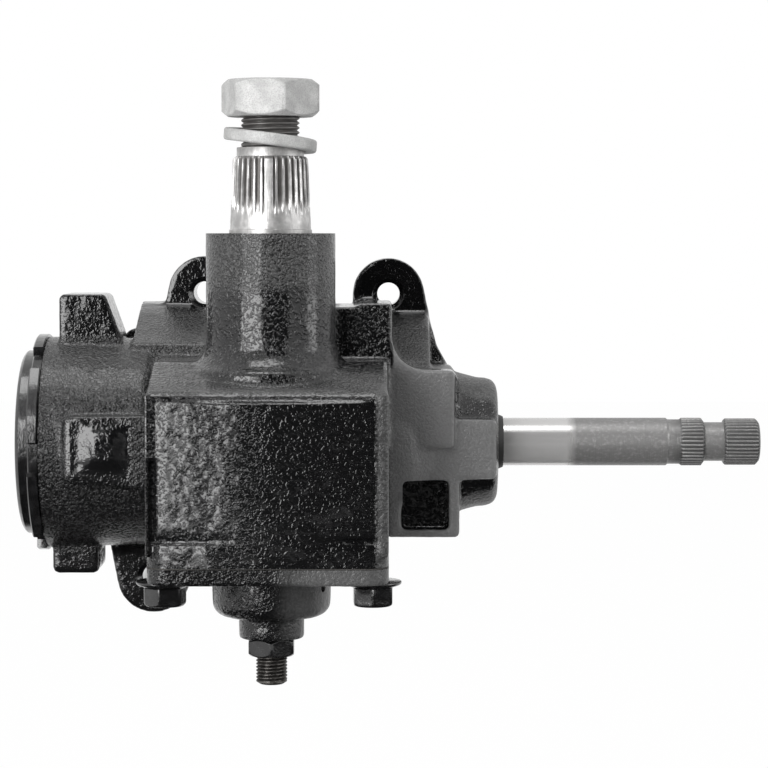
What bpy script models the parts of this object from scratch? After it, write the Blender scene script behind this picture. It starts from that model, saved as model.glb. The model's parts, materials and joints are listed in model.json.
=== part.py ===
"""Manual recirculating-ball steering gearbox.

X runs along the worm towards the steering column, Y from the viewer towards the frame rail,
Z up along the sector shaft. The origin lies on the rail face, level with the worm and
in line with the sector shaft. Lengths are in metres.
"""

import math

import bmesh
import bpy
from mathutils import Euler, Matrix, Vector

# Running and seating clearances
FIT = 0.0003
FACE_GAP = 0.0001

# Gear mesh of the rack and the sector
MODULE = 0.005
SECTOR_FULL_TEETH = 10
SECTOR_TEETH = 3
PRESSURE_ANGLE_DEG = 25.0
ADDENDUM = 0.004
DEDENDUM = 0.005
BACKLASH = 0.0006
FACE_WIDTH = 0.030
SWING_DEG = 42.0
STEERING_RATIO = 24.0

# Worm and its ball track
RAIL_CLEARANCE = 0.003
WORM_RADIUS = 0.010
BALL_RADIUS = 0.00238
BALL_PATH_RADIUS = 0.01025
TRACK_STEPS = 10
THREAD_RELIEF = 0.0002
WORM_CORE_RADIUS = 0.0070
INPUT_RADIUS = 0.009525
RACE_WIDTH = 0.009
RACE_SETBACK = 0.0012
RACE_BALL_RADIUS = 0.003
RACE_PATH_RADIUS = 0.013
RACE_BALLS = 8
CUP_WALL = 0.00375
WORM_TAIL = 0.003

# Input shaft beyond the nose
PLAIN_END = 0.156
COLLAR_START = 0.1614
COLLAR_END = 0.1706
SERRATION_START = 0.1788
INPUT_END = 0.1929
INPUT_NECK_RADIUS = 0.00775
UNDERCUT_RADIUS = 0.0090
SERRATED_RADIUS = 0.0093
SERRATIONS = 36
SERRATION_DEPTH = 0.00055

# Ball nut
NUT_LENGTH = 0.058
NUT_RADIUS = 0.019
RACK_PITCH_HEIGHT = 0.021
NUT_CREST_GAP = 0.0005
NUT_END_ROOM = 0.002
PAD_HEIGHT = 0.0196
PAD_HALF_WIDTH = 0.009
CIRCUIT_OFFSET = 0.016
CIRCUIT_BALLS = 6
BALL_STEP_DEG = 36.0
GUIDE_RADIUS = 0.0032
GUIDE_BORE_RADIUS = 0.0025
GUIDE_HEIGHT = 0.0233
GUIDE_HALF_LENGTH = 0.006
GUIDE_HALF_WIDTH = 0.0065
GUIDE_FOOT = 0.0150
CLAMP_THICKNESS = 0.0012
CLAMP_REACH = 0.0195
CLAMP_HALF_WIDTH = 0.0075
CLAMP_SEAT_HALF = 0.0048
SCREW_SPREAD = 0.0042
SCREW_RADIUS = 0.0016
SCREW_DEPTH = 0.0045
SCREW_HEAD_RADIUS = 0.0030
SCREW_HEAD_HEIGHT = 0.0014

# Sector (pitman) shaft
JOURNAL_RADIUS = 0.015875
HUB_RADIUS = 0.018
TAPER_TOP_RADIUS = 0.0143
TAPER_BOTTOM_RADIUS = 0.0154
TAPER_TOP_Z = 0.1122
TAPER_BOTTOM_Z = 0.0846
SPLINE_RUNOUT_Z = 0.0925
SPLINE_DEPTH = 0.0011
SPLINES = 32
RELIEF_RADIUS = 0.0128
RELIEF_HEIGHT = 0.0041
STUD_RADIUS = 0.0111
STUD_TOP_Z = 0.1419
SHAFT_CHAMFER = 0.0010
SHAFT_FOOT_Z = -0.0555

# Nuts, and the nut and spring washer of the pitman arm
NUT_FACE_SHARE = 0.97
NUT_CHAMFER_DEG = 32.0
PITMAN_NUT_FLATS = 0.0333
PITMAN_NUT_HEIGHT = 0.0140
PITMAN_NUT_TURN_DEG = -11.0
STUD_PROUD = 0.0004
WASHER_BORE_RADIUS = 0.0132
WASHER_WIDTH = 0.0046
WASHER_THICKNESS = 0.0047
WASHER_PITCH = 0.0052
WASHER_SWEEP_DEG = 345.0
WASHER_TILT_DEG = 4.0
WASHER_FOOT_Z = 0.1138

# Bushings and seal of the sector shaft
BUSHING_WALL = 0.0015
BUSHING_LENGTH = 0.020
UPPER_BUSHING_TOP_Z = 0.0720
LOWER_BUSHING_FOOT_Z = 0.0220
SEAL_WIDTH = 0.0045
SEAL_HEIGHT = 0.0080
SEAL_LIP = 0.0016

# Housing
CAVITY_ROOM = 0.0025
BODY_WALL = 0.0050
BARREL_WALL = 0.0054
BARREL_END = -0.0900
BARREL_SHOULDER = -0.0500
BARREL_BLEND = 0.0100
CHAMBER_RADIUS = 0.036
CHAMBER_WALL = 0.005
CHAMBER_ROOM = 0.0025
CHAMBER_ROOF = 0.0060
CHAMBER_SIDE_WALL = 0.0090
ROOF_FALL = 0.0005
ROOF_RUN = 0.0330
PANEL_RELIEF = 0.0015
PANEL_HALF_WIDTH = 0.0414
PANEL_FOOT_Z = -0.0290
PANEL_DEPTH = 0.0080
JOINT_FLANGE = 0.0088
FRONT_CROWN = 0.0016
CROWN_X = -0.014
COVER_FACE_Z = -0.0400
TOWER_TOP_Z = 0.0833
TOWER_WALL = 0.0043
TOWER_FLARE = 0.0130
TOWER_FLARE_SINK = 0.0045
ARM_TOP_Z = 0.0290
ARM_FOOT_Z = -0.0360
ARM_END = 0.0727
ARM_FRONT = 0.0290
ARM_REAR = 0.0310
ARM_STRIP = 0.0050
ARM_RIM = 0.0043
ARM_FOOT_RIM = 0.0038
ARM_POCKET_DEPTH = 0.0050
NOSE_RADIUS = 0.0256
NOSE_END = 0.0883
NOSE_BAR_HALF = 0.0116
NOSE_ROUND = 0.0045
NOSE_STRAIGHT = 0.0083
NOSE_CONE_RADIUS = 0.0285
NOSE_CONE_X = 0.0700
NOSE_SEAL_RADIUS = 0.0155
NOSE_SEAL_WIDTH = 0.0100
NOSE_LIP_RADIUS = 0.0103
NOSE_LIP = 0.0027
SHOULDER_END = 0.0464
SHOULDER_TOP_Z = 0.0555
SHOULDER_FRONT = 0.0340
SHOULDER_FILLET = 0.0130
SHOULDER_STEP = 0.0012
SHOULDER_REAR = 0.0262
CAST_EDGE = 0.0030
PAD_LEFT = -0.0800
PAD_RIGHT = -0.0490
PAD_PROUD = 0.0017
PAD_HALF_HEIGHT = 0.0136
BUTTON_PROUD = 0.0015
BUTTON_LEFT = -0.0722
BUTTON_WIDTH = 0.0160
BUTTON_HALF_HEIGHT = 0.0082
LUG_HALF_DEPTH = 0.0140
LUG_WIDTH = 0.0182
UPPER_LUG_X = -0.0849
UPPER_LUG_TOP_Z = 0.0593
LOWER_LUG_X = -0.0880
LOWER_LUG_FOOT_Z = -0.0510
LUG_SLOPE = 0.0060
LUG_ROOT = 0.0300

# Frame ears, each with its hole on the rail face
EAR_RADIUS = 0.0150
EAR_HOLE_RADIUS = 0.004575
EAR_SINK_RADIUS = 0.0065
EAR_SEAT_RADIUS = 0.0116
EAR_WRENCH_ROOM = 0.0100
EAR_SEAT_DEPTH = 0.0150
EAR_WEB_REAR = 0.0040
EAR_WEB_DEPTH = 0.0170
EAR_WEB_FLARE = 0.0110
EAR_WEB_ROOT = 0.0100
EAR_WEB_SPREAD = 0.0140
EAR_WEB_SLANT = 0.0050
GUSSET_REAR = 0.0120
GUSSET_KNEE = 0.0200
GUSSET_SINK = 0.0045
GUSSET_REACH = 0.0170
GUSSET_SPREAD = 0.0110
UPPER_LEFT_EAR = (-0.0300, 0.0590)
UPPER_RIGHT_EAR = (0.0450, 0.0585)
LOWER_LEFT_EAR = (-0.0515, -0.0575)

# Side cover, its bolts and its gasket
COVER_THICKNESS = 0.0063
GASKET_THICKNESS = 0.0004
COVER_BOLT_INSET = 0.009
COVER_BOLT_ANGLES_DEG = (210.0, 330.0, 90.0)
COVER_EAR_RADIUS = 0.0115
COVER_CORNER = 0.0086
COVER_WAIST = 0.0060
COVER_BOLT_RADIUS = 0.00476
COVER_BOLT_GRIP = 0.0070
COVER_BOLT_FLANGE_RADIUS = 0.0109
COVER_BOLT_FLANGE = 0.0020
COVER_BOLT_FLATS = 0.0143
COVER_BOLT_HEAD = 0.0072
COVER_BOLT_TURN_DEG = 17.0
COVER_HUB_TOP_Z = -0.0280
COVER_HUB_WALL = 0.0036
COVER_BOSS_RADIUS = 0.0227
COVER_BOSS_FOOT_Z = -0.0630
COVER_BOSS_ROUND = 0.0050
COVER_STEP_RADIUS = 0.0125
COVER_STEP_FOOT_Z = -0.0717
COVER_BUSHING_FOOT_Z = -0.0575
COVER_VENT_RADIUS = 0.0014
COVER_VENT_DEPTH = 0.0030
COVER_VENT_Z = -0.0513
COVER_VENT_DEG = -27.6

# Lash adjuster
LASH_HEAD_RADIUS = 0.0080
LASH_HEAD_HEIGHT = 0.0035
LASH_RADIUS = 0.0060
LASH_FOOT_Z = -0.0896
LASH_SLOT_WIDTH = 0.0016
LASH_SLOT_DEPTH = 0.0020
LASH_LIP = 0.0045
LASH_SHIM = 0.0007
LASH_NUT_FLATS = 0.0173
LASH_NUT_HEIGHT = 0.0067

# Worm bearing adjuster and its lock ring
PLUG_LAND = 0.0061
PLUG_END = -0.0998
PLUG_THREAD_END = -0.0720
PLUG_RECESS_RADIUS = 0.0280
PLUG_RECESS = 0.0030
PLUG_PIN_RADIUS = 0.0025
PLUG_PIN_CIRCLE = 0.0200
PLUG_PINS = 4
RING_WALL = 0.0062
RING_THICKNESS = 0.0042
RING_NOTCHES = 6
RING_NOTCH_DEG = 18.0
RING_NOTCH_TURN_DEG = 55.0
RING_NOTCH_DEPTH = 0.0034

# Facets of round pieces
COARSE = 12
MEDIUM = 18
FINE = 24
LARGE = 30

# Sizes that follow from the ones above
SECTOR_PITCH_RADIUS = MODULE * SECTOR_FULL_TEETH / 2
CENTRE_DISTANCE = RACK_PITCH_HEIGHT + SECTOR_PITCH_RADIUS
CLAMP_TOP = GUIDE_HEIGHT + GUIDE_RADIUS + FIT + CLAMP_THICKNESS
CAVITY_RADIUS = CLAMP_TOP + CAVITY_ROOM
PLUG_RADIUS = CAVITY_RADIUS + PLUG_LAND
BARREL_RADIUS = PLUG_RADIUS + BARREL_WALL
RAIL_TO_WORM = BARREL_RADIUS + RAIL_CLEARANCE
COVER_BOLT_CIRCLE = CHAMBER_RADIUS + COVER_BOLT_INSET
WORM_LEAD = math.tau * SECTOR_PITCH_RADIUS / STEERING_RATIO
NUT_TRAVEL = SECTOR_PITCH_RADIUS * math.radians(SWING_DEG)
CAVITY_HALF = NUT_LENGTH / 2 + NUT_TRAVEL + NUT_END_ROOM
RACE_CENTRE = CAVITY_HALF + RACE_SETBACK + RACE_WIDTH / 2
CUP_END = RACE_CENTRE + RACE_WIDTH / 2
CUP_RADIUS = RACE_PATH_RADIUS + RACE_BALL_RADIUS + CUP_WALL
WORM_AXIS = Vector((0, -RAIL_TO_WORM, 0))
SECTOR_AXIS = Vector((0, -RAIL_TO_WORM - CENTRE_DISTANCE, 0))
BODY_RADIUS = CAVITY_RADIUS + BODY_WALL
ROOF_TOP_Z = BODY_RADIUS - ROOF_FALL
BUSHING_RADIUS = JOURNAL_RADIUS + FIT + BUSHING_WALL
SEAL_RADIUS = JOURNAL_RADIUS + SEAL_WIDTH
TOWER_RADIUS = SEAL_RADIUS + TOWER_WALL
SECTOR_TOP_Z = FACE_WIDTH / 2
CHAMBER_TOP_Z = SECTOR_TOP_Z + CHAMBER_ROOM
BLOCK_TOP_Z = CHAMBER_TOP_Z + CHAMBER_ROOF
FRONT_REACH = CHAMBER_RADIUS + CHAMBER_WALL
SIDE_REACH = CHAMBER_RADIUS + CHAMBER_SIDE_WALL
COVER_TOP_Z = COVER_FACE_Z - GASKET_THICKNESS - 2 * FACE_GAP
COVER_FOOT_Z = COVER_TOP_Z - COVER_THICKNESS
TRACK_RADIUS = BALL_RADIUS + FIT

# How a piece drawn about +Z, or on the XY plane, is turned to its place
UP = Euler((0, 0, 0))
ALONG_X = Euler((0, math.pi / 2, 0))
PLANES = {
    "XY": Matrix.Identity(4),
    "XZ": Matrix.Rotation(math.pi / 2, 4, "X"),
    "YZ": Matrix.Rotation(math.pi / 2, 4, "Z") @ Matrix.Rotation(math.pi / 2, 4, "X"),
}
NORMALS = {"XY": Vector((0, 0, 1)), "XZ": Vector((0, 1, 0)), "YZ": Vector((1, 0, 0))}


def clear_scene():
    """Remove what the scene holds."""
    for item in list(bpy.data.objects):
        bpy.data.objects.remove(item, do_unlink=True)


def new_collection(name):
    group = bpy.data.collections.new(name)
    bpy.context.scene.collection.children.link(group)
    return group


clear_scene()
PARTS = new_collection("steering_gearbox")
CUTTERS = new_collection("cutters")


def paint(name, colour, roughness, metallic):
    """A plain finish for one kind of surface."""
    finish = bpy.data.materials.new(name)
    finish.use_nodes = True
    shader = finish.node_tree.nodes["Principled BSDF"]
    shader.inputs["Base Color"].default_value = (*colour, 1.0)
    shader.inputs["Roughness"].default_value = roughness
    shader.inputs["Metallic"].default_value = metallic
    return finish


FINISHES = {
    "cast_black": paint("cast_black", (0.012, 0.012, 0.013), 0.28, 0.0),
    "bolt_black": paint("bolt_black", (0.015, 0.015, 0.016), 0.22, 0.2),
    "bright_steel": paint("bright_steel", (0.56, 0.56, 0.57), 0.3, 1.0),
    "zinc": paint("zinc", (0.62, 0.62, 0.61), 0.5, 0.8),
    "dark_steel": paint("dark_steel", (0.10, 0.10, 0.11), 0.4, 0.9),
    "bronze": paint("bronze", (0.45, 0.29, 0.13), 0.4, 1.0),
    "seal_rubber": paint("seal_rubber", (0.02, 0.02, 0.02), 0.6, 0.0),
    "gasket_paper": paint("gasket_paper", (0.10, 0.09, 0.08), 0.8, 0.0),
}


def axis_empty(name, place):
    """An empty that carries what stands on one axis."""
    empty = bpy.data.objects.new(name, None)
    empty.location = place
    PARTS.objects.link(empty)
    return empty


WORM_LINE = axis_empty("worm_line", WORM_AXIS)
SECTOR_LINE = axis_empty("sector_line", SECTOR_AXIS)


def place_object(name, mesh, carrier=None):
    """Link a mesh as a cutter; finish_part makes it a part."""
    item = bpy.data.objects.new(name, mesh)
    CUTTERS.objects.link(item)
    item.hide_render = True
    item.display_type = "WIRE"
    item.parent = carrier
    return item


def finish_part(item, finish):
    """Move a modelled piece from the cutters to the parts and give it its finish."""
    if any(step.type == "BOOLEAN" for step in item.modifiers):
        weld = item.modifiers.new("Weld", "WELD")
        weld.merge_threshold = 0.000002
    CUTTERS.objects.unlink(item)
    PARTS.objects.link(item)
    item.hide_render = False
    item.display_type = "TEXTURED"
    item.data.materials.clear()
    item.data.materials.append(FINISHES[finish])
    return item


def turned(
        name, profile, carrier=None, turn=UP, at=(0, 0, 0), steps=MEDIUM, ring=False, sweep=math.tau, rise=0.0):
    """A profile of (radius, height) points, outer side running down, turned about its axis."""
    mesh = bpy.data.meshes.new(name)
    edges = [(i, i + 1) for i in range(len(profile) - 1)]
    if ring:
        edges.append((len(profile) - 1, 0))
    mesh.from_pydata([(radius, 0, height) for radius, height in profile], edges, [])
    item = place_object(name, mesh, carrier)
    item.location = at
    item.rotation_euler = turn
    screw = item.modifiers.new("Turn", "SCREW")
    screw.axis = "Z"
    screw.angle = sweep
    screw.screw_offset = rise
    screw.steps = steps
    screw.render_steps = steps
    screw.use_merge_vertices = rise == 0.0
    screw.merge_threshold = 0.00001
    screw.use_smooth_shade = False
    return item


def settle(item):
    """Replace an object's mesh by what its modifiers make of it, with open ends closed."""
    bpy.context.view_layer.update()
    seen = item.evaluated_get(bpy.context.evaluated_depsgraph_get())
    mesh = bpy.data.meshes.new_from_object(seen)
    shape = bmesh.new()
    shape.from_mesh(mesh)
    bmesh.ops.remove_doubles(shape, verts=shape.verts, dist=0.000001)
    bmesh.ops.holes_fill(shape, edges=[edge for edge in shape.edges if edge.is_boundary])
    bmesh.ops.recalc_face_normals(shape, faces=shape.faces)
    shape.to_mesh(mesh)
    shape.free()
    item.modifiers.clear()
    item.data = mesh
    return item


def plate(name, outline, low, high, plane="XY", carrier=None):
    """A flat outline thickened from low to high along its plane's normal."""
    curve = bpy.data.curves.new(name, "CURVE")
    curve.dimensions = "2D"
    curve.fill_mode = "BOTH"
    curve.extrude = (high - low) / 2
    spline = curve.splines.new("POLY")
    spline.points.add(len(outline) - 1)
    for point, (u, v) in zip(spline.points, outline):
        point.co = (u, v, 0, 1)
    spline.use_cyclic_u = True
    holder = bpy.data.objects.new(name + "_outline", curve)
    CUTTERS.objects.link(holder)
    bpy.context.view_layer.update()
    mesh = bpy.data.meshes.new_from_object(holder.evaluated_get(bpy.context.evaluated_depsgraph_get()))
    bpy.data.objects.remove(holder, do_unlink=True)
    shape = bmesh.new()
    shape.from_mesh(mesh)
    bmesh.ops.remove_doubles(shape, verts=shape.verts, dist=0.000001)
    bmesh.ops.dissolve_limit(shape, angle_limit=0.001, verts=shape.verts, edges=shape.edges)
    bmesh.ops.recalc_face_normals(shape, faces=shape.faces)
    shape.transform(Matrix.Translation(NORMALS[plane] * (low + high) / 2) @ PLANES[plane])
    shape.to_mesh(mesh)
    shape.free()
    return place_object(name, mesh, carrier)


def block(name, low, high, carrier=None):
    """A box between two corners."""
    low, high = Vector(low), Vector(high)
    shape = bmesh.new()
    bmesh.ops.create_cube(shape, size=1.0)
    bmesh.ops.scale(shape, vec=high - low, verts=shape.verts)
    bmesh.ops.translate(shape, vec=(low + high) / 2, verts=shape.verts)
    mesh = bpy.data.meshes.new(name)
    shape.to_mesh(mesh)
    shape.free()
    return place_object(name, mesh, carrier)


def rod(name, radius, low, high, carrier=None, turn=UP, at=(0, 0, 0), steps=MEDIUM):
    """A plain round bar or drill from low to high along its axis."""
    profile = [(0, high), (radius, high), (radius, low), (0, low)]
    return turned(name, profile, carrier, turn, at, steps)


def pattern(name, count, make, carrier=None):
    """One cutter made of copies that don't meet; make(index) gives each copy's matrix and size."""
    shape = bmesh.new()
    for index in range(count):
        matrix, corners = make(index)
        prism = bmesh.ops.create_cone(
            shape, cap_ends=True, segments=corners["sides"], depth=corners["length"],
            radius1=corners["low"], radius2=corners["high"])
        bmesh.ops.transform(shape, matrix=matrix, verts=prism["verts"])
    mesh = bpy.data.meshes.new(name)
    shape.to_mesh(mesh)
    shape.free()
    return place_object(name, mesh, carrier)


def combine(item, other, operation):
    """Join, cut or trim one piece by another."""
    step = item.modifiers.new(operation.title(), "BOOLEAN")
    step.operation = operation
    step.solver = "EXACT"
    step.object = other
    return item


def join(item, *others):
    for other in others:
        combine(item, other, "UNION")
    return item


def cut(item, *others):
    for other in others:
        combine(item, other, "DIFFERENCE")
    return item


def soften(item, width, segments=2, angle=40.0):
    """Round the sharp edges of a piece."""
    bevel = item.modifiers.new("Bevel", "BEVEL")
    bevel.width = width
    bevel.segments = segments
    bevel.limit_method = "ANGLE"
    bevel.angle_limit = math.radians(angle)
    return item


def arc(centre_u, centre_v, radius, start_deg, end_deg, count):
    """Points along a round stretch, both ends included."""
    points = []
    for step in range(count + 1):
        angle = math.radians(start_deg + (end_deg - start_deg) * step / count)
        points.append((centre_u + radius * math.cos(angle), centre_v + radius * math.sin(angle)))
    return points


def corner_radius(flats):
    """Across-corners radius of a hexagon from its distance across flats."""
    return flats / 2 / math.cos(math.pi / 6)


def hexagon(name, flats, low, high, carrier=None, at=(0, 0, 0), turn_deg=0.0):
    """A hexagonal bar."""
    radius = corner_radius(flats)
    outline = arc(0, 0, radius, turn_deg, turn_deg + 300.0, 5)
    item = plate(name, outline, low, high, "XY", carrier)
    item.location = at
    return item


def hex_nut(name, flats, bore, low, high, carrier, turn_deg, both_ends=True):
    """A hexagon nut with turned chamfers and a plain bore of the thread's outer size."""
    nut = hexagon(name, flats, low, high, carrier, turn_deg=turn_deg)
    reach = corner_radius(flats)
    face = flats / 2 * NUT_FACE_SHARE
    drop = (reach - face) * math.tan(math.radians(NUT_CHAMFER_DEG))
    top = [(0, high), (face, high), (reach + FIT, high - drop)]
    foot = [(reach + FIT, low + drop), (face, low), (0, low)]
    if not both_ends:
        foot = [(reach + FIT, low - FIT), (0, low - FIT)]
    trim = turned(name + "_chamfer", top + foot, carrier, steps=FINE)
    combine(nut, trim, "INTERSECT")
    cut(nut, rod(name + "_bore", bore, low - FIT, high + FIT, carrier, steps=FINE))
    return nut


# Outlines shared by the housing, the gasket and the cover

def cover_outline(crown=0.0, inset=0.0):
    """Plan of the cover joint about the sector axis: a straight front and a lug for each bolt."""
    front = inset - FRONT_REACH
    corner = COVER_CORNER
    side = SIDE_REACH - inset
    back = COVER_BOLT_CIRCLE
    outline = arc(-side + corner, front + corner, corner, 180, 270, 4)
    if crown:
        outline.append((CROWN_X, front - crown))
    outline += arc(side - corner, front + corner, corner, 270, 360, 4)
    outline += [(side, COVER_WAIST)]
    outline += arc(0, back, COVER_EAR_RADIUS, 35, 145, 6)
    outline += [(-side, COVER_WAIST)]
    return outline


def bolt_spots():
    """Places of the cover bolts about the sector axis."""
    spots = []
    for degrees in COVER_BOLT_ANGLES_DEG:
        angle = math.radians(degrees)
        spots.append((COVER_BOLT_CIRCLE * math.cos(angle), COVER_BOLT_CIRCLE * math.sin(angle)))
    return spots


# Housing

def worm_body():
    """The turned body round the worm: conical nose, slimmer middle, shoulder and wide barrel."""
    profile = [(0, NOSE_END)]
    profile += arc(NOSE_RADIUS - NOSE_ROUND, NOSE_END - NOSE_ROUND, NOSE_ROUND, 90, 0, 4)
    profile += [(NOSE_RADIUS, NOSE_END - NOSE_STRAIGHT), (NOSE_CONE_RADIUS, NOSE_CONE_X)]
    profile += [(ARM_TOP_Z + FIT * 3, CUP_END + CAST_EDGE), (BODY_RADIUS, CAVITY_HALF + BODY_WALL / 2)]
    profile.append((BODY_RADIUS, BARREL_SHOULDER + BARREL_BLEND))
    blend_radius = BODY_RADIUS + (BARREL_RADIUS - BODY_RADIUS) / 3
    profile.append((blend_radius, BARREL_SHOULDER + BARREL_BLEND / 2))
    profile += [(BARREL_RADIUS, BARREL_SHOULDER), (BARREL_RADIUS, BARREL_END + FIT * 3)]
    profile += [(BARREL_RADIUS - FIT * 3, BARREL_END), (0, BARREL_END)]
    return turned("gear_housing", profile, WORM_LINE, ALONG_X, steps=LARGE)


def chamber_block():
    """The sector chamber on the cover's outline: core, joint flange, crowned front panel and roof."""
    foot = COVER_FACE_Z + CAST_EDGE
    core = plate("chamber_block", cover_outline(0.0, PANEL_RELIEF), foot, BLOCK_TOP_Z, "XY", SECTOR_LINE)
    flange_top = COVER_FACE_Z + JOINT_FLANGE
    flange = plate("joint_flange", cover_outline(FRONT_CROWN), COVER_FACE_Z, flange_top, "XY", SECTOR_LINE)
    half = PANEL_HALF_WIDTH
    front, back = -FRONT_REACH, PANEL_DEPTH - FRONT_REACH
    outline = [(-half, back), (-half, front), (CROWN_X, front - FRONT_CROWN), (half, front), (half, back)]
    panel = plate("front_panel", outline, PANEL_FOOT_Z, BLOCK_TOP_Z - PANEL_RELIEF, "XY", SECTOR_LINE)
    start = PANEL_RELIEF + CAST_EDGE / 2 - FRONT_REACH
    slope = [(start, 0), (start, BLOCK_TOP_Z - CAST_EDGE / 3), (start + ROOF_RUN, ROOF_TOP_Z)]
    slope += [(CENTRE_DISTANCE, ROOF_TOP_Z), (CENTRE_DISTANCE, 0)]
    side = SIDE_REACH - PANEL_RELIEF * 1.5
    roof = plate("chamber_roof", slope, -side, side, "YZ", SECTOR_LINE)
    for piece in (core, flange, panel, roof):
        soften(piece, CAST_EDGE / 4, 1, 50)
    return core, flange, panel, roof


def tower():
    """The round tower of the sector shaft, flared where it meets the roof."""
    level = ROOF_TOP_Z + TOWER_FLARE - TOWER_FLARE_SINK
    flare = arc(TOWER_RADIUS + TOWER_FLARE, level, TOWER_FLARE, 180, 245, 4)
    profile = [(0, TOWER_TOP_Z), (TOWER_RADIUS - FIT * 2, TOWER_TOP_Z), (TOWER_RADIUS, TOWER_TOP_Z - FIT * 2)]
    profile += flare
    profile += [(flare[-1][0], CHAMBER_TOP_Z - CHAMBER_ROOM), (0, CHAMBER_TOP_Z - CHAMBER_ROOM)]
    return turned("tower", profile, SECTOR_LINE, steps=FINE)


def arm():
    """The arm between the chamber and the nose, with its sunk pocket at the front."""
    front = -ARM_FRONT
    body = block("arm", (CAVITY_HALF - BODY_WALL, front, ARM_FOOT_Z), (ARM_END, ARM_REAR, ARM_TOP_Z), WORM_LINE)
    soften(body, CAST_EDGE, 2)
    pocket = block(
        "arm_pocket",
        (SIDE_REACH + ARM_STRIP, front - FIT, ARM_FOOT_Z + ARM_FOOT_RIM),
        (ARM_END - ARM_RIM, front + ARM_POCKET_DEPTH, -NOSE_BAR_HALF), WORM_LINE)
    return cut(body, pocket)


def nose_bar():
    bar = block(
        "nose_bar", (CUP_END, -ARM_FRONT, -NOSE_BAR_HALF),
        (NOSE_END - NOSE_ROUND / 2, 0, NOSE_BAR_HALF), WORM_LINE)
    return soften(bar, CAST_EDGE / 3, 1)


def shoulder():
    """The web between the tower and the upper right ear, curved down to the arm."""
    outline = [(0, 0), (0, SHOULDER_TOP_Z), (SHOULDER_END, SHOULDER_TOP_Z)]
    foot = ARM_TOP_Z + SHOULDER_STEP
    outline += arc(SHOULDER_END + SHOULDER_FILLET, foot + SHOULDER_FILLET, SHOULDER_FILLET, 180, 270, 5)
    end = ARM_END - CAST_EDGE * 1.5
    outline += [(end, foot), (end, 0)]
    web = plate("shoulder", outline, -SHOULDER_FRONT, SHOULDER_REAR, "XZ", WORM_LINE)
    return soften(web, CAST_EDGE / 3, 1, 50)


def barrel_lugs():
    """The two lugs above and below the barrel, and the raised pad with its button."""
    upper_right = UPPER_LUG_X + LUG_WIDTH
    upper = [(UPPER_LUG_X, LUG_ROOT), (upper_right + LUG_SLOPE * 1.5, LUG_ROOT)]
    upper += [(upper_right + LUG_SLOPE, BARREL_RADIUS), (upper_right, UPPER_LUG_TOP_Z)]
    upper += [(UPPER_LUG_X, UPPER_LUG_TOP_Z)]
    lower_right = LOWER_LUG_X + LUG_WIDTH
    lower = [(LOWER_LUG_X, LOWER_LUG_FOOT_Z), (lower_right, LOWER_LUG_FOOT_Z)]
    lower += [(lower_right, -LUG_ROOT), (LOWER_LUG_X, -LUG_ROOT)]
    pieces = []
    for name, outline in (("upper_lug", upper), ("lower_lug", lower)):
        lug = plate(name, outline, -LUG_HALF_DEPTH, LUG_HALF_DEPTH, "XZ", WORM_LINE)
        pieces.append(soften(lug, CAST_EDGE * 2 / 3, 1))
    face = -BARREL_RADIUS - PAD_PROUD
    pad = block("barrel_pad", (PAD_LEFT, face, -PAD_HALF_HEIGHT), (PAD_RIGHT, 0, PAD_HALF_HEIGHT), WORM_LINE)
    pieces.append(soften(pad, CAST_EDGE / 2, 1))
    button = block(
        "pad_button", (BUTTON_LEFT, face - BUTTON_PROUD, -BUTTON_HALF_HEIGHT),
        (BUTTON_LEFT + BUTTON_WIDTH, -BODY_RADIUS, BUTTON_HALF_HEIGHT), WORM_LINE)
    pieces.append(soften(button, BUTTON_PROUD / 2, 1))
    return pieces


def ear_webs():
    """Outline of each ear's web, flared down to the body."""
    radius = EAR_RADIUS
    flare = EAR_WEB_FLARE
    root = EAR_WEB_ROOT
    left_x, left_z = UPPER_LEFT_EAR
    upper_left = arc(left_x, left_z, radius, 0, 180, 8)
    upper_left += arc(left_x - radius - flare, BARREL_RADIUS + flare, flare, 0, -90, 4)
    left_end = BARREL_SHOULDER - EAR_WEB_SPREAD
    upper_left += [(left_end, BARREL_RADIUS), (left_end, root), (left_x + radius, root)]
    right_x, right_z = UPPER_RIGHT_EAR
    right_end = ARM_END - CAST_EDGE
    upper_right = arc(right_x, right_z, radius, 10, 180, 8)
    upper_right += [(right_x - radius, root), (right_end, root), (right_end, ARM_TOP_Z - EAR_WEB_SLANT)]
    low_x, low_z = LOWER_LEFT_EAR
    lower_left = arc(low_x, low_z, radius, 180, 360, 8)
    lower_left += [(low_x + radius + EAR_WEB_SLANT, -root), (low_x - radius - EAR_WEB_SLANT, -root)]
    lower_left += [(low_x - radius - EAR_WEB_SLANT / 2, -BARREL_RADIUS)]
    return {"upper_left": upper_left, "upper_right": upper_right, "lower_left": lower_left}


def gusset(name, left, right, ear_z, front, foot_z):
    """A web across an ear, falling from just inside the ear to the body in front of it."""
    root = math.copysign(EAR_WEB_ROOT + CAST_EDGE, ear_z)
    outline = [(-GUSSET_REAR, root), (-GUSSET_REAR, ear_z), (-GUSSET_KNEE, ear_z), (front, foot_z), (front, root)]
    return soften(plate(name, outline, left, right, "YZ"), CAST_EDGE / 2, 1, 55)


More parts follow.
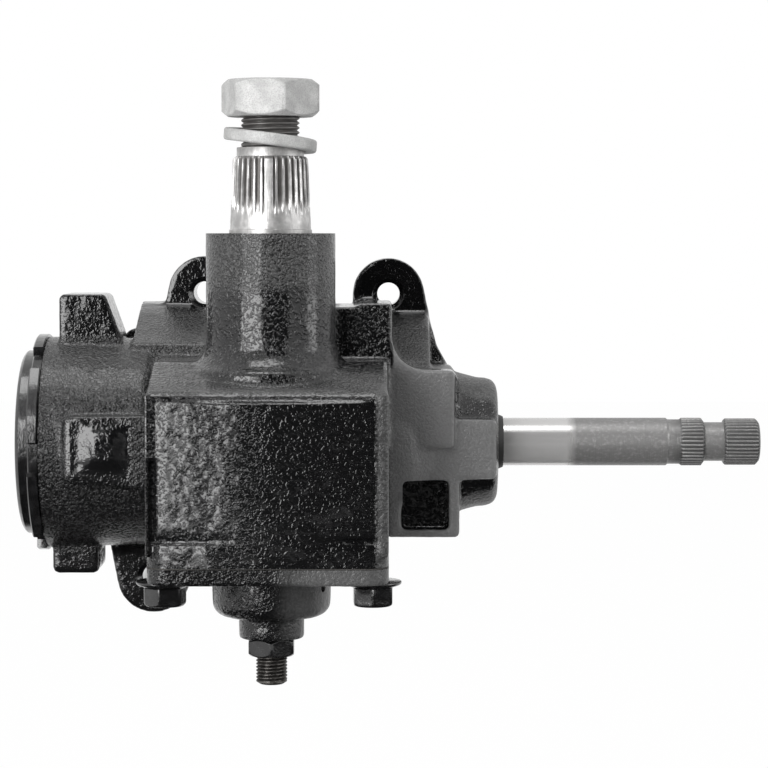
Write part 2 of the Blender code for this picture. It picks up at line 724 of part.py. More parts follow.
def gussets():
    """The webs that carry the three ears, each between its ear and the body."""
    front = -RAIL_TO_WORM - GUSSET_REACH
    left_x, left_z = UPPER_LEFT_EAR
    right_x, right_z = UPPER_RIGHT_EAR
    low_x, low_z = LOWER_LEFT_EAR
    left = gusset(
        "left_gusset", left_x - EAR_RADIUS - GUSSET_SPREAD, left_x + EAR_RADIUS - CAST_EDGE,
        left_z - GUSSET_SINK, front, BODY_RADIUS + CAST_EDGE)
    right = gusset(
        "right_gusset", right_x - EAR_RADIUS + CAST_EDGE, right_x + EAR_RADIUS,
        right_z - GUSSET_SINK * 1.5, front, ARM_TOP_Z - CAST_EDGE)
    low = gusset(
        "low_gusset", low_x - EAR_RADIUS + CAST_EDGE / 3, low_x + EAR_RADIUS - CAST_EDGE / 3,
        low_z + GUSSET_SINK * 2, -RAIL_TO_WORM, -BODY_RADIUS + CAST_EDGE)
    return [left, right, low]


def ears():
    """The three frame ears: a web, a round pad on the rail face and a hole in each."""
    pieces, drills = [], []
    centres = {"upper_left": UPPER_LEFT_EAR, "upper_right": UPPER_RIGHT_EAR, "lower_left": LOWER_LEFT_EAR}
    for name, outline in ear_webs().items():
        web = plate(name + "_web", outline, -EAR_WEB_REAR - EAR_WEB_DEPTH, -EAR_WEB_REAR, "XZ")
        pieces.append(soften(web, CAST_EDGE, 1, 55))
        across, up = centres[name]
        seat = rod(name + "_seat", EAR_SEAT_RADIUS, 0, EAR_SEAT_DEPTH, turn=Euler((math.pi / 2, 0, 0)),
                   at=(across, 0, up), steps=FINE)
        pieces.append(seat)
        depth = EAR_WEB_REAR + EAR_WEB_DEPTH
        sink = EAR_SINK_RADIUS - EAR_HOLE_RADIUS
        room = depth + EAR_WRENCH_ROOM
        profile = [(0, room), (EAR_SINK_RADIUS, room), (EAR_SINK_RADIUS, depth)]
        profile += [(EAR_HOLE_RADIUS, depth - sink), (EAR_HOLE_RADIUS, -FIT), (0, -FIT)]
        outward = Euler((math.pi / 2, 0, 0))
        drills.append(turned(name + "_drill", profile, turn=outward, at=(across, 0, up), steps=COARSE))
    return pieces, drills


def worm_bore():
    """The stepped bore along the worm: plug thread, cavity, cup seat, shaft and seal."""
    profile = [(0, NOSE_END + FIT), (NOSE_SEAL_RADIUS + FIT, NOSE_END + FIT)]
    seal_seat = NOSE_END - NOSE_SEAL_WIDTH
    room = INPUT_RADIUS + FIT * 3
    profile += [(NOSE_SEAL_RADIUS + FIT, seal_seat), (room, seal_seat)]
    profile += [(room, CUP_END + FIT * 5), (RACE_PATH_RADIUS, CUP_END + FIT)]
    profile += [(CUP_RADIUS + FIT, CUP_END + FIT), (CUP_RADIUS + FIT, CAVITY_HALF), (CAVITY_RADIUS, CAVITY_HALF)]
    profile += [(CAVITY_RADIUS, PLUG_THREAD_END + FIT), (PLUG_RADIUS + FIT, PLUG_THREAD_END + FIT)]
    profile += [(PLUG_RADIUS + FIT, BARREL_END - FIT), (0, BARREL_END - FIT)]
    return turned("worm_bore", profile, WORM_LINE, ALONG_X, steps=LARGE)


def sector_bore():
    """The stepped bore along the sector shaft: chamber, bushings and seal."""
    profile = [(0, TOWER_TOP_Z + FIT), (SEAL_RADIUS + FIT, TOWER_TOP_Z + FIT)]
    seal_seat = TOWER_TOP_Z - SEAL_HEIGHT - FIT * 2
    profile += [(SEAL_RADIUS + FIT, seal_seat), (BUSHING_RADIUS + FIT, seal_seat)]
    profile.append((BUSHING_RADIUS + FIT, CHAMBER_TOP_Z))
    profile += [(CHAMBER_RADIUS, CHAMBER_TOP_Z), (CHAMBER_RADIUS, COVER_FACE_Z - FIT), (0, COVER_FACE_Z - FIT)]
    return turned("sector_bore", profile, SECTOR_LINE, steps=LARGE)


def cover_bolt_holes(name, radius, low, high):
    """Drills for the three cover bolts as one cutter."""
    spots = bolt_spots()

    def make(index):
        x, y = spots[index]
        size = {"sides": COARSE, "length": high - low, "low": radius, "high": radius}
        return Matrix.Translation((x, y, (low + high) / 2)), size

    return pattern(name, len(spots), make, SECTOR_LINE)


def build_housing():
    housing = worm_body()
    join(housing, *chamber_block(), tower(), arm(), nose_bar(), shoulder())
    join(housing, *barrel_lugs(), *gussets())
    pads, drills = ears()
    join(housing, *pads)
    cut(housing, worm_bore(), sector_bore(), *drills)
    depth = COVER_BOLT_GRIP + FIT * 2
    foot = COVER_FACE_Z - FIT
    cut(housing, cover_bolt_holes("housing_bolt_holes", COVER_BOLT_RADIUS + FIT, foot, COVER_FACE_Z + depth))
    finish_part(housing, "cast_black")


# Side cover and what it carries

def build_side_cover():
    cover = plate("side_cover", cover_outline(), COVER_FOOT_Z, COVER_TOP_Z, "XY", SECTOR_LINE)
    soften(cover, CAST_EDGE / 4, 1, 50)
    hub_radius = BUSHING_RADIUS + COVER_HUB_WALL
    profile = [(0, COVER_HUB_TOP_Z), (hub_radius, COVER_HUB_TOP_Z), (hub_radius, COVER_FOOT_Z + FIT)]
    profile += [(COVER_BOSS_RADIUS, COVER_FOOT_Z + FIT)]
    bend = COVER_BOSS_ROUND
    profile += arc(COVER_BOSS_RADIUS - bend, COVER_BOSS_FOOT_Z + bend, bend, 0, -90, 3)
    profile += [(COVER_STEP_RADIUS, COVER_BOSS_FOOT_Z), (COVER_STEP_RADIUS, COVER_STEP_FOOT_Z + FIT * 3)]
    profile += [(COVER_STEP_RADIUS - FIT * 3, COVER_STEP_FOOT_Z), (0, COVER_STEP_FOOT_Z)]
    join(cover, turned("cover_boss", profile, SECTOR_LINE, steps=FINE))
    bore = [(0, COVER_HUB_TOP_Z + FIT), (BUSHING_RADIUS + FIT, COVER_HUB_TOP_Z + FIT)]
    bore += [(BUSHING_RADIUS + FIT, COVER_BUSHING_FOOT_Z), (LASH_RADIUS + FIT, COVER_BUSHING_FOOT_Z)]
    bore += [(LASH_RADIUS + FIT, COVER_STEP_FOOT_Z - FIT), (0, COVER_STEP_FOOT_Z - FIT)]
    cut(cover, turned("cover_bore", bore, SECTOR_LINE, steps=FINE))
    drill = COVER_BOLT_RADIUS + FIT
    cut(cover, cover_bolt_holes("cover_bolt_bores", drill, COVER_FOOT_Z - FIT, COVER_TOP_Z + FIT))
    angle = math.radians(COVER_VENT_DEG)
    vent = rod(
        "cover_vent", COVER_VENT_RADIUS, COVER_BOSS_RADIUS - COVER_VENT_DEPTH, COVER_BOSS_RADIUS + FIT * 3,
        SECTOR_LINE, Euler((0, math.pi / 2, angle)), (0, 0, COVER_VENT_Z), COARSE // 2)
    cut(cover, vent)
    finish_part(cover, "cast_black")


def build_gasket():
    top = COVER_FACE_Z - FACE_GAP
    gasket = plate("side_cover_gasket", cover_outline(), top - GASKET_THICKNESS, top, "XY", SECTOR_LINE)
    cut(gasket, rod("gasket_hole", CHAMBER_RADIUS, COVER_FOOT_Z, COVER_FACE_Z + FIT, SECTOR_LINE, steps=LARGE))
    cut(gasket, cover_bolt_holes("gasket_bolt_bores", COVER_BOLT_RADIUS + FIT, COVER_FOOT_Z, COVER_FACE_Z + FIT))
    finish_part(gasket, "gasket_paper")


def build_cover_bolts():
    """Flanged hexagon bolts, each seated on the cover."""
    seat = COVER_FOOT_Z - FACE_GAP
    tip = COVER_FACE_Z + COVER_BOLT_GRIP
    profile = [(0, tip), (COVER_BOLT_RADIUS, tip), (COVER_BOLT_RADIUS, seat), (COVER_BOLT_FLANGE_RADIUS, seat)]
    profile += [(COVER_BOLT_FLANGE_RADIUS, seat - COVER_BOLT_FLANGE * 0.5)]
    profile += [(COVER_BOLT_FLATS / 2, seat - COVER_BOLT_FLANGE), (0, seat - COVER_BOLT_FLANGE)]
    foot = seat - COVER_BOLT_FLANGE - COVER_BOLT_HEAD
    for number, (x, y) in enumerate(bolt_spots(), 1):
        bolt = turned(f"cover_bolt_{number}", profile, SECTOR_LINE, at=(x, y, 0), steps=COARSE)
        head = hexagon(
            f"cover_bolt_head_{number}", COVER_BOLT_FLATS, foot, seat - COVER_BOLT_FLANGE * 0.8,
            SECTOR_LINE, (x, y, 0), COVER_BOLT_TURN_DEG * number)
        soften(head, FIT * 2, 1)
        join(bolt, head)
        finish_part(bolt, "bolt_black")


def build_bushings():
    """Bronze bushings of the sector shaft: two in the tower and one in the side cover."""
    spans = {
        "sector_bushing_upper": (UPPER_BUSHING_TOP_Z - BUSHING_LENGTH, UPPER_BUSHING_TOP_Z),
        "sector_bushing_lower": (LOWER_BUSHING_FOOT_Z, LOWER_BUSHING_FOOT_Z + BUSHING_LENGTH),
        "side_cover_bushing": (COVER_BUSHING_FOOT_Z + FACE_GAP, COVER_HUB_TOP_Z),
    }
    inner = JOURNAL_RADIUS + FIT
    for name, (low, high) in spans.items():
        profile = [(BUSHING_RADIUS, high), (BUSHING_RADIUS, low), (inner, low), (inner, high)]
        bushing = turned(name, profile, SECTOR_LINE, steps=FINE, ring=True)
        finish_part(bushing, "bronze")


def build_sector_seal():
    top = TOWER_TOP_Z - FIT
    foot = top - SEAL_HEIGHT
    inner = JOURNAL_RADIUS + FIT
    lip = SEAL_LIP
    profile = [(SEAL_RADIUS, top), (SEAL_RADIUS, foot), (inner + lip, foot), (inner, foot + lip)]
    profile += [(inner, top - lip), (inner + lip / 2, top)]
    finish_part(turned("sector_shaft_seal", profile, SECTOR_LINE, steps=FINE, ring=True), "seal_rubber")


# Lash adjuster in the end of the sector shaft

def lash_levels():
    """Heights of the slot lip, the head's foot and top and the shim's foot and top."""
    lip_top = SHAFT_FOOT_Z + LASH_LIP
    head_foot = lip_top + FACE_GAP
    head_top = head_foot + LASH_HEAD_HEIGHT
    shim_foot = head_top + FACE_GAP
    shim_top = shim_foot + LASH_SHIM
    return lip_top, head_foot, head_top, shim_foot, shim_top


def build_lash_adjuster():
    lip_top, head_foot, head_top, shim_foot, shim_top = lash_levels()
    profile = [(0, head_top), (LASH_HEAD_RADIUS, head_top), (LASH_HEAD_RADIUS, head_foot)]
    profile += [(LASH_RADIUS, head_foot), (LASH_RADIUS, LASH_FOOT_Z + SHAFT_CHAMFER)]
    profile += [(LASH_RADIUS - SHAFT_CHAMFER, LASH_FOOT_Z), (0, LASH_FOOT_Z)]
    screw = turned("lash_adjuster", profile, SECTOR_LINE, steps=MEDIUM)
    half = LASH_SLOT_WIDTH / 2
    reach = LASH_RADIUS + FIT
    slot_top = LASH_FOOT_Z + LASH_SLOT_DEPTH
    cut(screw, block("lash_slot", (-reach, -half, LASH_FOOT_Z - FIT), (reach, half, slot_top), SECTOR_LINE))
    finish_part(screw, "dark_steel")
    shim = rod("lash_shim", LASH_HEAD_RADIUS, shim_foot, shim_top, SECTOR_LINE, steps=MEDIUM)
    finish_part(shim, "bright_steel")
    top = COVER_STEP_FOOT_Z - FACE_GAP
    nut = hex_nut(
        "lash_lock_nut", LASH_NUT_FLATS, LASH_RADIUS + FIT, top - LASH_NUT_HEIGHT, top, SECTOR_LINE, -90.0)
    finish_part(nut, "cast_black")


# Sector shaft

def involute(angle):
    return math.tan(angle) - angle


def sector_outline():
    """Three involute teeth on part of a rim, closed by the round hub behind."""
    pressure = math.radians(PRESSURE_ANGLE_DEG)
    base = SECTOR_PITCH_RADIUS * math.cos(pressure)
    root = SECTOR_PITCH_RADIUS - DEDENDUM
    tip = SECTOR_PITCH_RADIUS + ADDENDUM
    pitch_angle = math.tau / SECTOR_FULL_TEETH
    half_thick = (math.pi * MODULE - BACKLASH) / 4 / SECTOR_PITCH_RADIUS

    def flank(radius):
        """Half the tooth's angle at a radius."""
        spread = math.acos(min(1.0, base / radius))
        return half_thick + involute(pressure) - involute(spread)

    radii = [base + (tip - base) * step / 4 for step in range(5)]
    outline = []
    for tooth in range(SECTOR_TEETH):
        middle = math.pi / 2 + (tooth - (SECTOR_TEETH - 1) / 2) * pitch_angle
        right = [(radius, middle - flank(radius)) for radius in [root] + radii]
        left = [(radius, middle + flank(radius)) for radius in reversed([root] + radii)]
        right[0] = (root, right[1][1])
        left[-1] = (root, left[-2][1])
        outline += right + left
    last = outline[-1][1]
    first = outline[0][1] + math.tau
    outline.append((root, last + pitch_angle / 4))
    back = 12
    for step in range(back + 1):
        start, end = last + pitch_angle / 2.5, first - pitch_angle / 2.5
        outline.append((HUB_RADIUS, start + (end - start) * step / back))
    outline.append((root, first - pitch_angle / 4))
    return [(radius * math.cos(angle), radius * math.sin(angle)) for radius, angle in outline]


def spline_cutter():
    """Tapered grooves between the splines, with one gap left for the wide master spline."""
    length = TAPER_TOP_Z - SPLINE_RUNOUT_Z
    slope = (TAPER_BOTTOM_RADIUS - TAPER_TOP_RADIUS) / (TAPER_TOP_Z - TAPER_BOTTOM_Z)
    runout_radius = TAPER_TOP_RADIUS + slope * length
    lean = math.atan2(runout_radius + SPLINE_DEPTH - TAPER_TOP_RADIUS, length)
    groove = SPLINE_DEPTH * 1.7

    def make(index):
        angle = -math.pi / 2 + math.tau * (index + 1) / SPLINES
        spin = Matrix.Rotation(angle, 4, "Z")
        reach = TAPER_TOP_RADIUS + groove - SPLINE_DEPTH + slope * length / 2 + SPLINE_DEPTH / 2
        shift = Matrix.Translation((reach, 0, TAPER_TOP_Z - length / 2 + groove / 2))
        tip = Matrix.Rotation(-lean, 4, "Y")
        point_in = Matrix.Rotation(math.pi / 2, 4, "Z")
        size = {"sides": 3, "length": length + groove, "low": groove, "high": groove}
        return spin @ shift @ tip @ point_in, size

    return pattern("spline_grooves", SPLINES - 1, make, SECTOR_LINE)


def build_sector_shaft():
    relief_top = TAPER_TOP_Z + RELIEF_HEIGHT
    chamfer = SHAFT_CHAMFER
    profile = [(0, STUD_TOP_Z), (STUD_RADIUS - chamfer, STUD_TOP_Z), (STUD_RADIUS, STUD_TOP_Z - chamfer)]
    profile += [(STUD_RADIUS, relief_top), (RELIEF_RADIUS, relief_top), (RELIEF_RADIUS, TAPER_TOP_Z)]
    profile += [(TAPER_TOP_RADIUS - chamfer / 2, TAPER_TOP_Z), (TAPER_TOP_RADIUS, TAPER_TOP_Z - chamfer / 2)]
    profile += [(TAPER_BOTTOM_RADIUS, TAPER_BOTTOM_Z), (JOURNAL_RADIUS, TAPER_BOTTOM_Z)]
    profile += [(JOURNAL_RADIUS, SHAFT_FOOT_Z + chamfer), (JOURNAL_RADIUS - chamfer, SHAFT_FOOT_Z), (0, SHAFT_FOOT_Z)]
    shaft = turned("sector_shaft", profile, SECTOR_LINE, steps=FINE)
    gear = plate("sector_teeth", sector_outline(), -FACE_WIDTH / 2, FACE_WIDTH / 2, "XY", SECTOR_LINE)
    join(shaft, gear)
    cut(shaft, spline_cutter())
    lip_top, head_foot, head_top, shim_foot, shim_top = lash_levels()
    reach = JOURNAL_RADIUS + FIT
    neck, room = LASH_RADIUS + FIT, LASH_HEAD_RADIUS + FIT
    cut(shaft, block("slot_neck", (-neck, -reach, SHAFT_FOOT_Z - FIT), (neck, reach, lip_top + FIT), SECTOR_LINE))
    cut(shaft, block("slot_room", (-room, -reach, lip_top), (room, reach, shim_top + FACE_GAP), SECTOR_LINE))
    finish_part(shaft, "bright_steel")


def build_pitman_nut():
    top = STUD_TOP_Z - STUD_PROUD
    nut = hex_nut(
        "pitman_nut", PITMAN_NUT_FLATS, STUD_RADIUS + FIT, top - PITMAN_NUT_HEIGHT, top,
        SECTOR_LINE, PITMAN_NUT_TURN_DEG)
    finish_part(nut, "zinc")


def build_lock_washer():
    """A split spring washer in its free helical state, resting tilted on the spline shoulder."""
    inner, outer = WASHER_BORE_RADIUS, WASHER_BORE_RADIUS + WASHER_WIDTH
    rim = WASHER_THICKNESS * 0.12
    top, foot = WASHER_THICKNESS, 0.0
    profile = [(outer - rim, top), (outer, top - rim), (outer, foot + rim), (outer - rim, foot)]
    profile += [(inner + rim, foot), (inner, foot + rim), (inner, top - rim), (inner + rim, top)]
    sweep = math.radians(WASHER_SWEEP_DEG)
    washer = turned("lock_washer", profile, SECTOR_LINE, steps=FINE, ring=True, sweep=sweep, rise=-WASHER_PITCH)
    settle(washer)
    washer.location = (0, 0, WASHER_FOOT_Z + WASHER_PITCH)
    gap = (math.tau - sweep) / 2
    washer.rotation_euler = Euler((0, math.radians(WASHER_TILT_DEG), math.pi / 2 + gap), "ZYX")
    finish_part(washer, "zinc")


# Worm, its bearings and seal

def race_arc(start_deg, end_deg, count):
    """Part of a race about the ball path, as (radius, distance from the ball centre)."""
    track = RACE_BALL_RADIUS + FIT
    return [(RACE_PATH_RADIUS + track * math.sin(math.radians(angle)), track * math.cos(math.radians(angle)))
            for angle in [start_deg + (end_deg - start_deg) * step / count for step in range(count + 1)]]


def serrated_bar(name, start, end, radius):
    """A bar with straight V serrations all round."""
    outline = []
    for point in range(2 * SERRATIONS):
        angle = math.pi * point / SERRATIONS
        reach = radius - SERRATION_DEPTH * (point % 2)
        outline.append((reach * math.cos(angle), reach * math.sin(angle)))
    return plate(name, outline, start, end, "YZ", WORM_LINE)


def track_half_width(radius):
    """Half the width of the six-sided ball track at a distance from the worm's axis."""
    slope = math.tan(math.pi / 6)
    return TRACK_RADIUS / math.cos(math.pi / 6) - abs(radius - BALL_PATH_RADIUS) * slope


def threaded_bar(name, crest, track, half_length):
    """A solid bar whose surface is the ball track between two radii, closed at each end by a fan."""
    wide, narrow = track_half_width(crest), track_half_width(track)
    start = -WORM_LEAD * math.ceil(half_length / WORM_LEAD)
    turns = round(-2 * start / WORM_LEAD)
    section = [(crest, WORM_LEAD - wide), (crest, wide), (track, narrow), (track, -narrow), (crest, -wide)]
    section = [(radius, start + shift) for radius, shift in section]
    bar = turned(name, section, WORM_LINE, ALONG_X, steps=TRACK_STEPS, rise=WORM_LEAD)
    bar.modifiers["Turn"].iterations = turns
    bpy.context.view_layer.update()
    mesh = bpy.data.meshes.new_from_object(bar.evaluated_get(bpy.context.evaluated_depsgraph_get()))
    shape = bmesh.new()
    shape.from_mesh(mesh)
    bmesh.ops.remove_doubles(shape, verts=shape.verts, dist=0.000001)
    rims = [edge for edge in shape.edges if edge.is_boundary]
    for side in (-1, 1):
        rim = [edge for edge in rims if edge.verts[0].co.z * side > 0]
        middle = sum(vert.co.z for edge in rim for vert in edge.verts) / (2 * len(rim))
        pole = shape.verts.new((0, 0, middle))
        for edge in rim:
            shape.faces.new((*edge.verts, pole))
    bmesh.ops.recalc_face_normals(shape, faces=shape.faces)
    shape.to_mesh(mesh)
    shape.free()
    bar.modifiers.clear()
    bar.data = mesh
    return bar


def build_worm():
    race = race_arc(205, 270, 2)
    right = [(radius, RACE_CENTRE + shift) for radius, shift in race]
    left = [(radius, -RACE_CENTRE - shift) for radius, shift in race]
    chamfer = SHAFT_CHAMFER
    profile = [(0, INPUT_END), (INPUT_NECK_RADIUS, INPUT_END), (INPUT_NECK_RADIUS, COLLAR_START)]
    profile += [(UNDERCUT_RADIUS, COLLAR_START), (UNDERCUT_RADIUS, PLAIN_END + chamfer / 2)]
    profile.append((INPUT_RADIUS, PLAIN_END))
    profile += [(INPUT_RADIUS, RACE_CENTRE + RACE_BALL_RADIUS)] + list(reversed(right))
    reach = NUT_LENGTH / 2 + NUT_TRAVEL - WORM_LEAD
    profile += [(right[0][0], CAVITY_HALF), (WORM_RADIUS, CAVITY_HALF - chamfer), (WORM_RADIUS, reach)]
    profile += [(WORM_CORE_RADIUS, reach), (WORM_CORE_RADIUS, -reach), (WORM_RADIUS, -reach)]
    profile += [(WORM_RADIUS, -CAVITY_HALF + chamfer), (left[0][0], -CAVITY_HALF)] + left
    tail = -CUP_END - WORM_TAIL
    profile += [(INPUT_RADIUS, -RACE_CENTRE - RACE_BALL_RADIUS), (INPUT_RADIUS, tail + chamfer)]
    profile += [(INPUT_RADIUS - chamfer, tail), (0, tail)]
    worm = turned("worm_shaft", profile, WORM_LINE, ALONG_X, steps=2 * TRACK_STEPS)
    join(worm, threaded_bar("worm_thread", WORM_RADIUS - THREAD_RELIEF, BALL_PATH_RADIUS - TRACK_RADIUS, reach))
    join(worm, serrated_bar("collar_serrations", COLLAR_START, COLLAR_END, INPUT_RADIUS))
    join(worm, serrated_bar("end_serrations", SERRATION_START, INPUT_END, SERRATED_RADIUS))
    finish_part(worm, "bright_steel")


def build_worm_bearings():
    """Cups and caged balls at both ends of the worm, mirrored about its middle."""
    race = race_arc(90, 25, 2)
    half = RACE_WIDTH / 2
    cup = [(CUP_RADIUS, half), (CUP_RADIUS, -half), (race[0][0], -half)] + race + [(race[-1][0], half)]
    cage_half, cage_wall = RACE_BALL_RADIUS * 0.45, RACE_BALL_RADIUS * 0.3
    cage = [(RACE_PATH_RADIUS + cage_wall, cage_half), (RACE_PATH_RADIUS + cage_wall, -cage_half)]
    cage += [(RACE_PATH_RADIUS - cage_wall, -cage_half), (RACE_PATH_RADIUS - cage_wall, cage_half)]
    sides = {"right": (ALONG_X, RACE_CENTRE), "left": (Euler((0, -math.pi / 2, 0)), -RACE_CENTRE)}
    for side, (turn, x) in sides.items():
        ring = turned(f"worm_cup_{side}", cup, WORM_LINE, turn, (x, 0, 0), MEDIUM, ring=True)
        finish_part(ring, "bright_steel")
        retainer = turned(f"worm_balls_{side}", cage, WORM_LINE, turn, (x, 0, 0), 2 * RACE_BALLS, ring=True)
        join(retainer, bearing_balls(f"race_balls_{side}", turn, x))
        finish_part(retainer, "bright_steel")


def bearing_balls(name, turn, x):
    """A ring of balls that don't meet, as one tool for the cage."""
    shape = bmesh.new()
    for index in range(RACE_BALLS):
        angle = math.tau * index / RACE_BALLS
        place = Matrix.Rotation(angle, 4, "Z") @ Matrix.Translation((RACE_PATH_RADIUS, 0, 0))
        bmesh.ops.create_uvsphere(shape, u_segments=6, v_segments=4, radius=RACE_BALL_RADIUS, matrix=place)
    mesh = bpy.data.meshes.new(name)
    shape.to_mesh(mesh)
    shape.free()
    balls = place_object(name, mesh, WORM_LINE)
    balls.location = (x, 0, 0)
    balls.rotation_euler = turn
    return balls


def build_worm_seal():
    start = NOSE_END - NOSE_SEAL_WIDTH + FIT
    end = NOSE_END - FIT
    inner = INPUT_RADIUS + FIT
    profile = [(inner + FIT, end + NOSE_LIP), (NOSE_LIP_RADIUS, end + NOSE_LIP - FIT * 2)]
    profile += [(NOSE_LIP_RADIUS + FIT * 3, end), (NOSE_SEAL_RADIUS, end)]
    profile += [(NOSE_SEAL_RADIUS, start), (inner, start)]
    profile += [(inner, end + NOSE_LIP - FIT)]
    finish_part(turned("worm_shaft_seal", profile, WORM_LINE, ALONG_X, steps=MEDIUM, ring=True), "seal_rubber")


# Ball nut

def build_ball_nut():
    """A round nut with a flat pad for the ball guides and a rack of straight teeth."""
    half = NUT_LENGTH / 2
    tip = RACK_PITCH_HEIGHT + ADDENDUM
    root = RACK_PITCH_HEIGHT - DEDENDUM
    face = FACE_WIDTH / 2
    pad_angle = math.degrees(math.asin(PAD_HALF_WIDTH / NUT_RADIUS))
    section = [(-tip, -face), (-root + FIT, -face)]
    section += arc(0, 0, NUT_RADIUS, 270 - 30, 360 - pad_angle, 8)
    section += [(PAD_HEIGHT, -PAD_HALF_WIDTH), (PAD_HEIGHT, PAD_HALF_WIDTH)]
    section += arc(0, 0, NUT_RADIUS, pad_angle, 90 + 30, 8)
    section += [(-root + FIT, face), (-tip, face)]
    nut = plate("ball_nut", section, -half, half, "YZ", WORM_LINE)
    pitch = math.pi * MODULE
    pressure = math.tan(math.radians(PRESSURE_ANGLE_DEG))
    reach = tip + ADDENDUM / 4
    for index in range(-2, 3):
        middle = pitch * index
        at_pitch = pitch / 4 + BACKLASH / 4
        wide = at_pitch + (reach - RACK_PITCH_HEIGHT) * pressure
        narrow = at_pitch - DEDENDUM * pressure
        outline = [(middle - wide, -reach), (middle + wide, -reach)]
        outline += [(middle + narrow, -root), (middle - narrow, -root)]
        cut(nut, plate(f"rack_space_{index + 2}", outline, -NUT_RADIUS - FIT, NUT_RADIUS + FIT, "XY", WORM_LINE))
    track_reach = BALL_PATH_RADIUS + TRACK_RADIUS
    cut(nut, threaded_bar("nut_track", WORM_RADIUS + NUT_CREST_GAP, track_reach, half + WORM_LEAD))
    cut(nut, guide_holes(), screw_holes())
    finish_part(nut, "bright_steel")


def guide_route(side):
    """Middle line of one return guide: out of the nut, across its pad and back in."""
    x = side * CIRCUIT_OFFSET
    across, bend = GUIDE_HALF_WIDTH, GUIDE_RADIUS
    start = Vector((x - GUIDE_HALF_LENGTH, 0, -across))
    end = Vector((x + GUIDE_HALF_LENGTH, 0, across))
    lie = (end - start).normalized()
    up = Vector((0, 1, 0))
    points = [start + up * GUIDE_FOOT, start + up * (GUIDE_HEIGHT - bend)]
    near = bend * 0.3
    points += [start + up * (GUIDE_HEIGHT - near) + lie * near, start + up * GUIDE_HEIGHT + lie * bend]
    points += [end + up * GUIDE_HEIGHT - lie * bend, end + up * (GUIDE_HEIGHT - near) - lie * near]
    points += [end + up * (GUIDE_HEIGHT - bend), end + up * GUIDE_FOOT]
    return points


def tube(name, points, radius, carrier):
    """A round bar along a route, as a closed mesh."""
    curve = bpy.data.curves.new(name, "CURVE")
    curve.dimensions = "3D"
    curve.bevel_depth = radius
    curve.bevel_resolution = 1
    curve.use_fill_caps = True
    spline = curve.splines.new("POLY")
    spline.points.add(len(points) - 1)
    for point, place in zip(spline.points, points):
        point.co = (*place, 1)
    holder = bpy.data.objects.new(name + "_route", curve)
    CUTTERS.objects.link(holder)
    item = place_object(name, bpy.data.meshes.new(name), None)
    bpy.context.view_layer.update()
    item.data = bpy.data.meshes.new_from_object(holder.evaluated_get(bpy.context.evaluated_depsgraph_get()))
    bpy.data.objects.remove(holder, do_unlink=True)
    settle(item)
    item.parent = carrier
    return item


def build_ball_guides():
    for number, side in enumerate((-1, 1), 1):
        route = guide_route(side)
        guide = tube(f"ball_guide_{number}", route, GUIDE_RADIUS, WORM_LINE)
        down = Vector((0, -FIT, 0))
        longer = [route[0] + down] + route[1:-1] + [route[-1] + down]
        cut(guide, tube(f"guide_bore_{number}", longer, GUIDE_BORE_RADIUS, WORM_LINE))
        finish_part(guide, "dark_steel")


def guide_holes():
    """Holes of the guides' feet, from the pad into the ball track."""
    feet = []
    for side in (-1, 1):
        route = guide_route(side)
        feet += [route[0], route[-1]]
    low, high = BALL_PATH_RADIUS, PAD_HEIGHT + FIT

    def make(index):
        foot = feet[index]
        radius = (GUIDE_RADIUS + FIT) / math.cos(math.pi / COARSE)
        size = {"sides": COARSE, "length": high - low, "low": radius, "high": radius}
        place = Matrix.Translation((foot.x, (low + high) / 2, foot.z))
        return place @ Matrix.Rotation(math.pi / 2, 4, "X"), size

    return pattern("guide_holes", len(feet), make, WORM_LINE)


def screw_holes():
    radius = SCREW_RADIUS + FIT

    def make(index):
        across = SCREW_SPREAD if index else -SCREW_SPREAD
        depth = SCREW_DEPTH + FIT
        size = {"sides": COARSE // 2, "length": depth * 2, "low": radius, "high": radius}
        return Matrix.Translation((0, PAD_HEIGHT, across)) @ Matrix.Rotation(math.pi / 2, 4, "X"), size

    return pattern("clamp_screw_holes", 2, make, WORM_LINE)


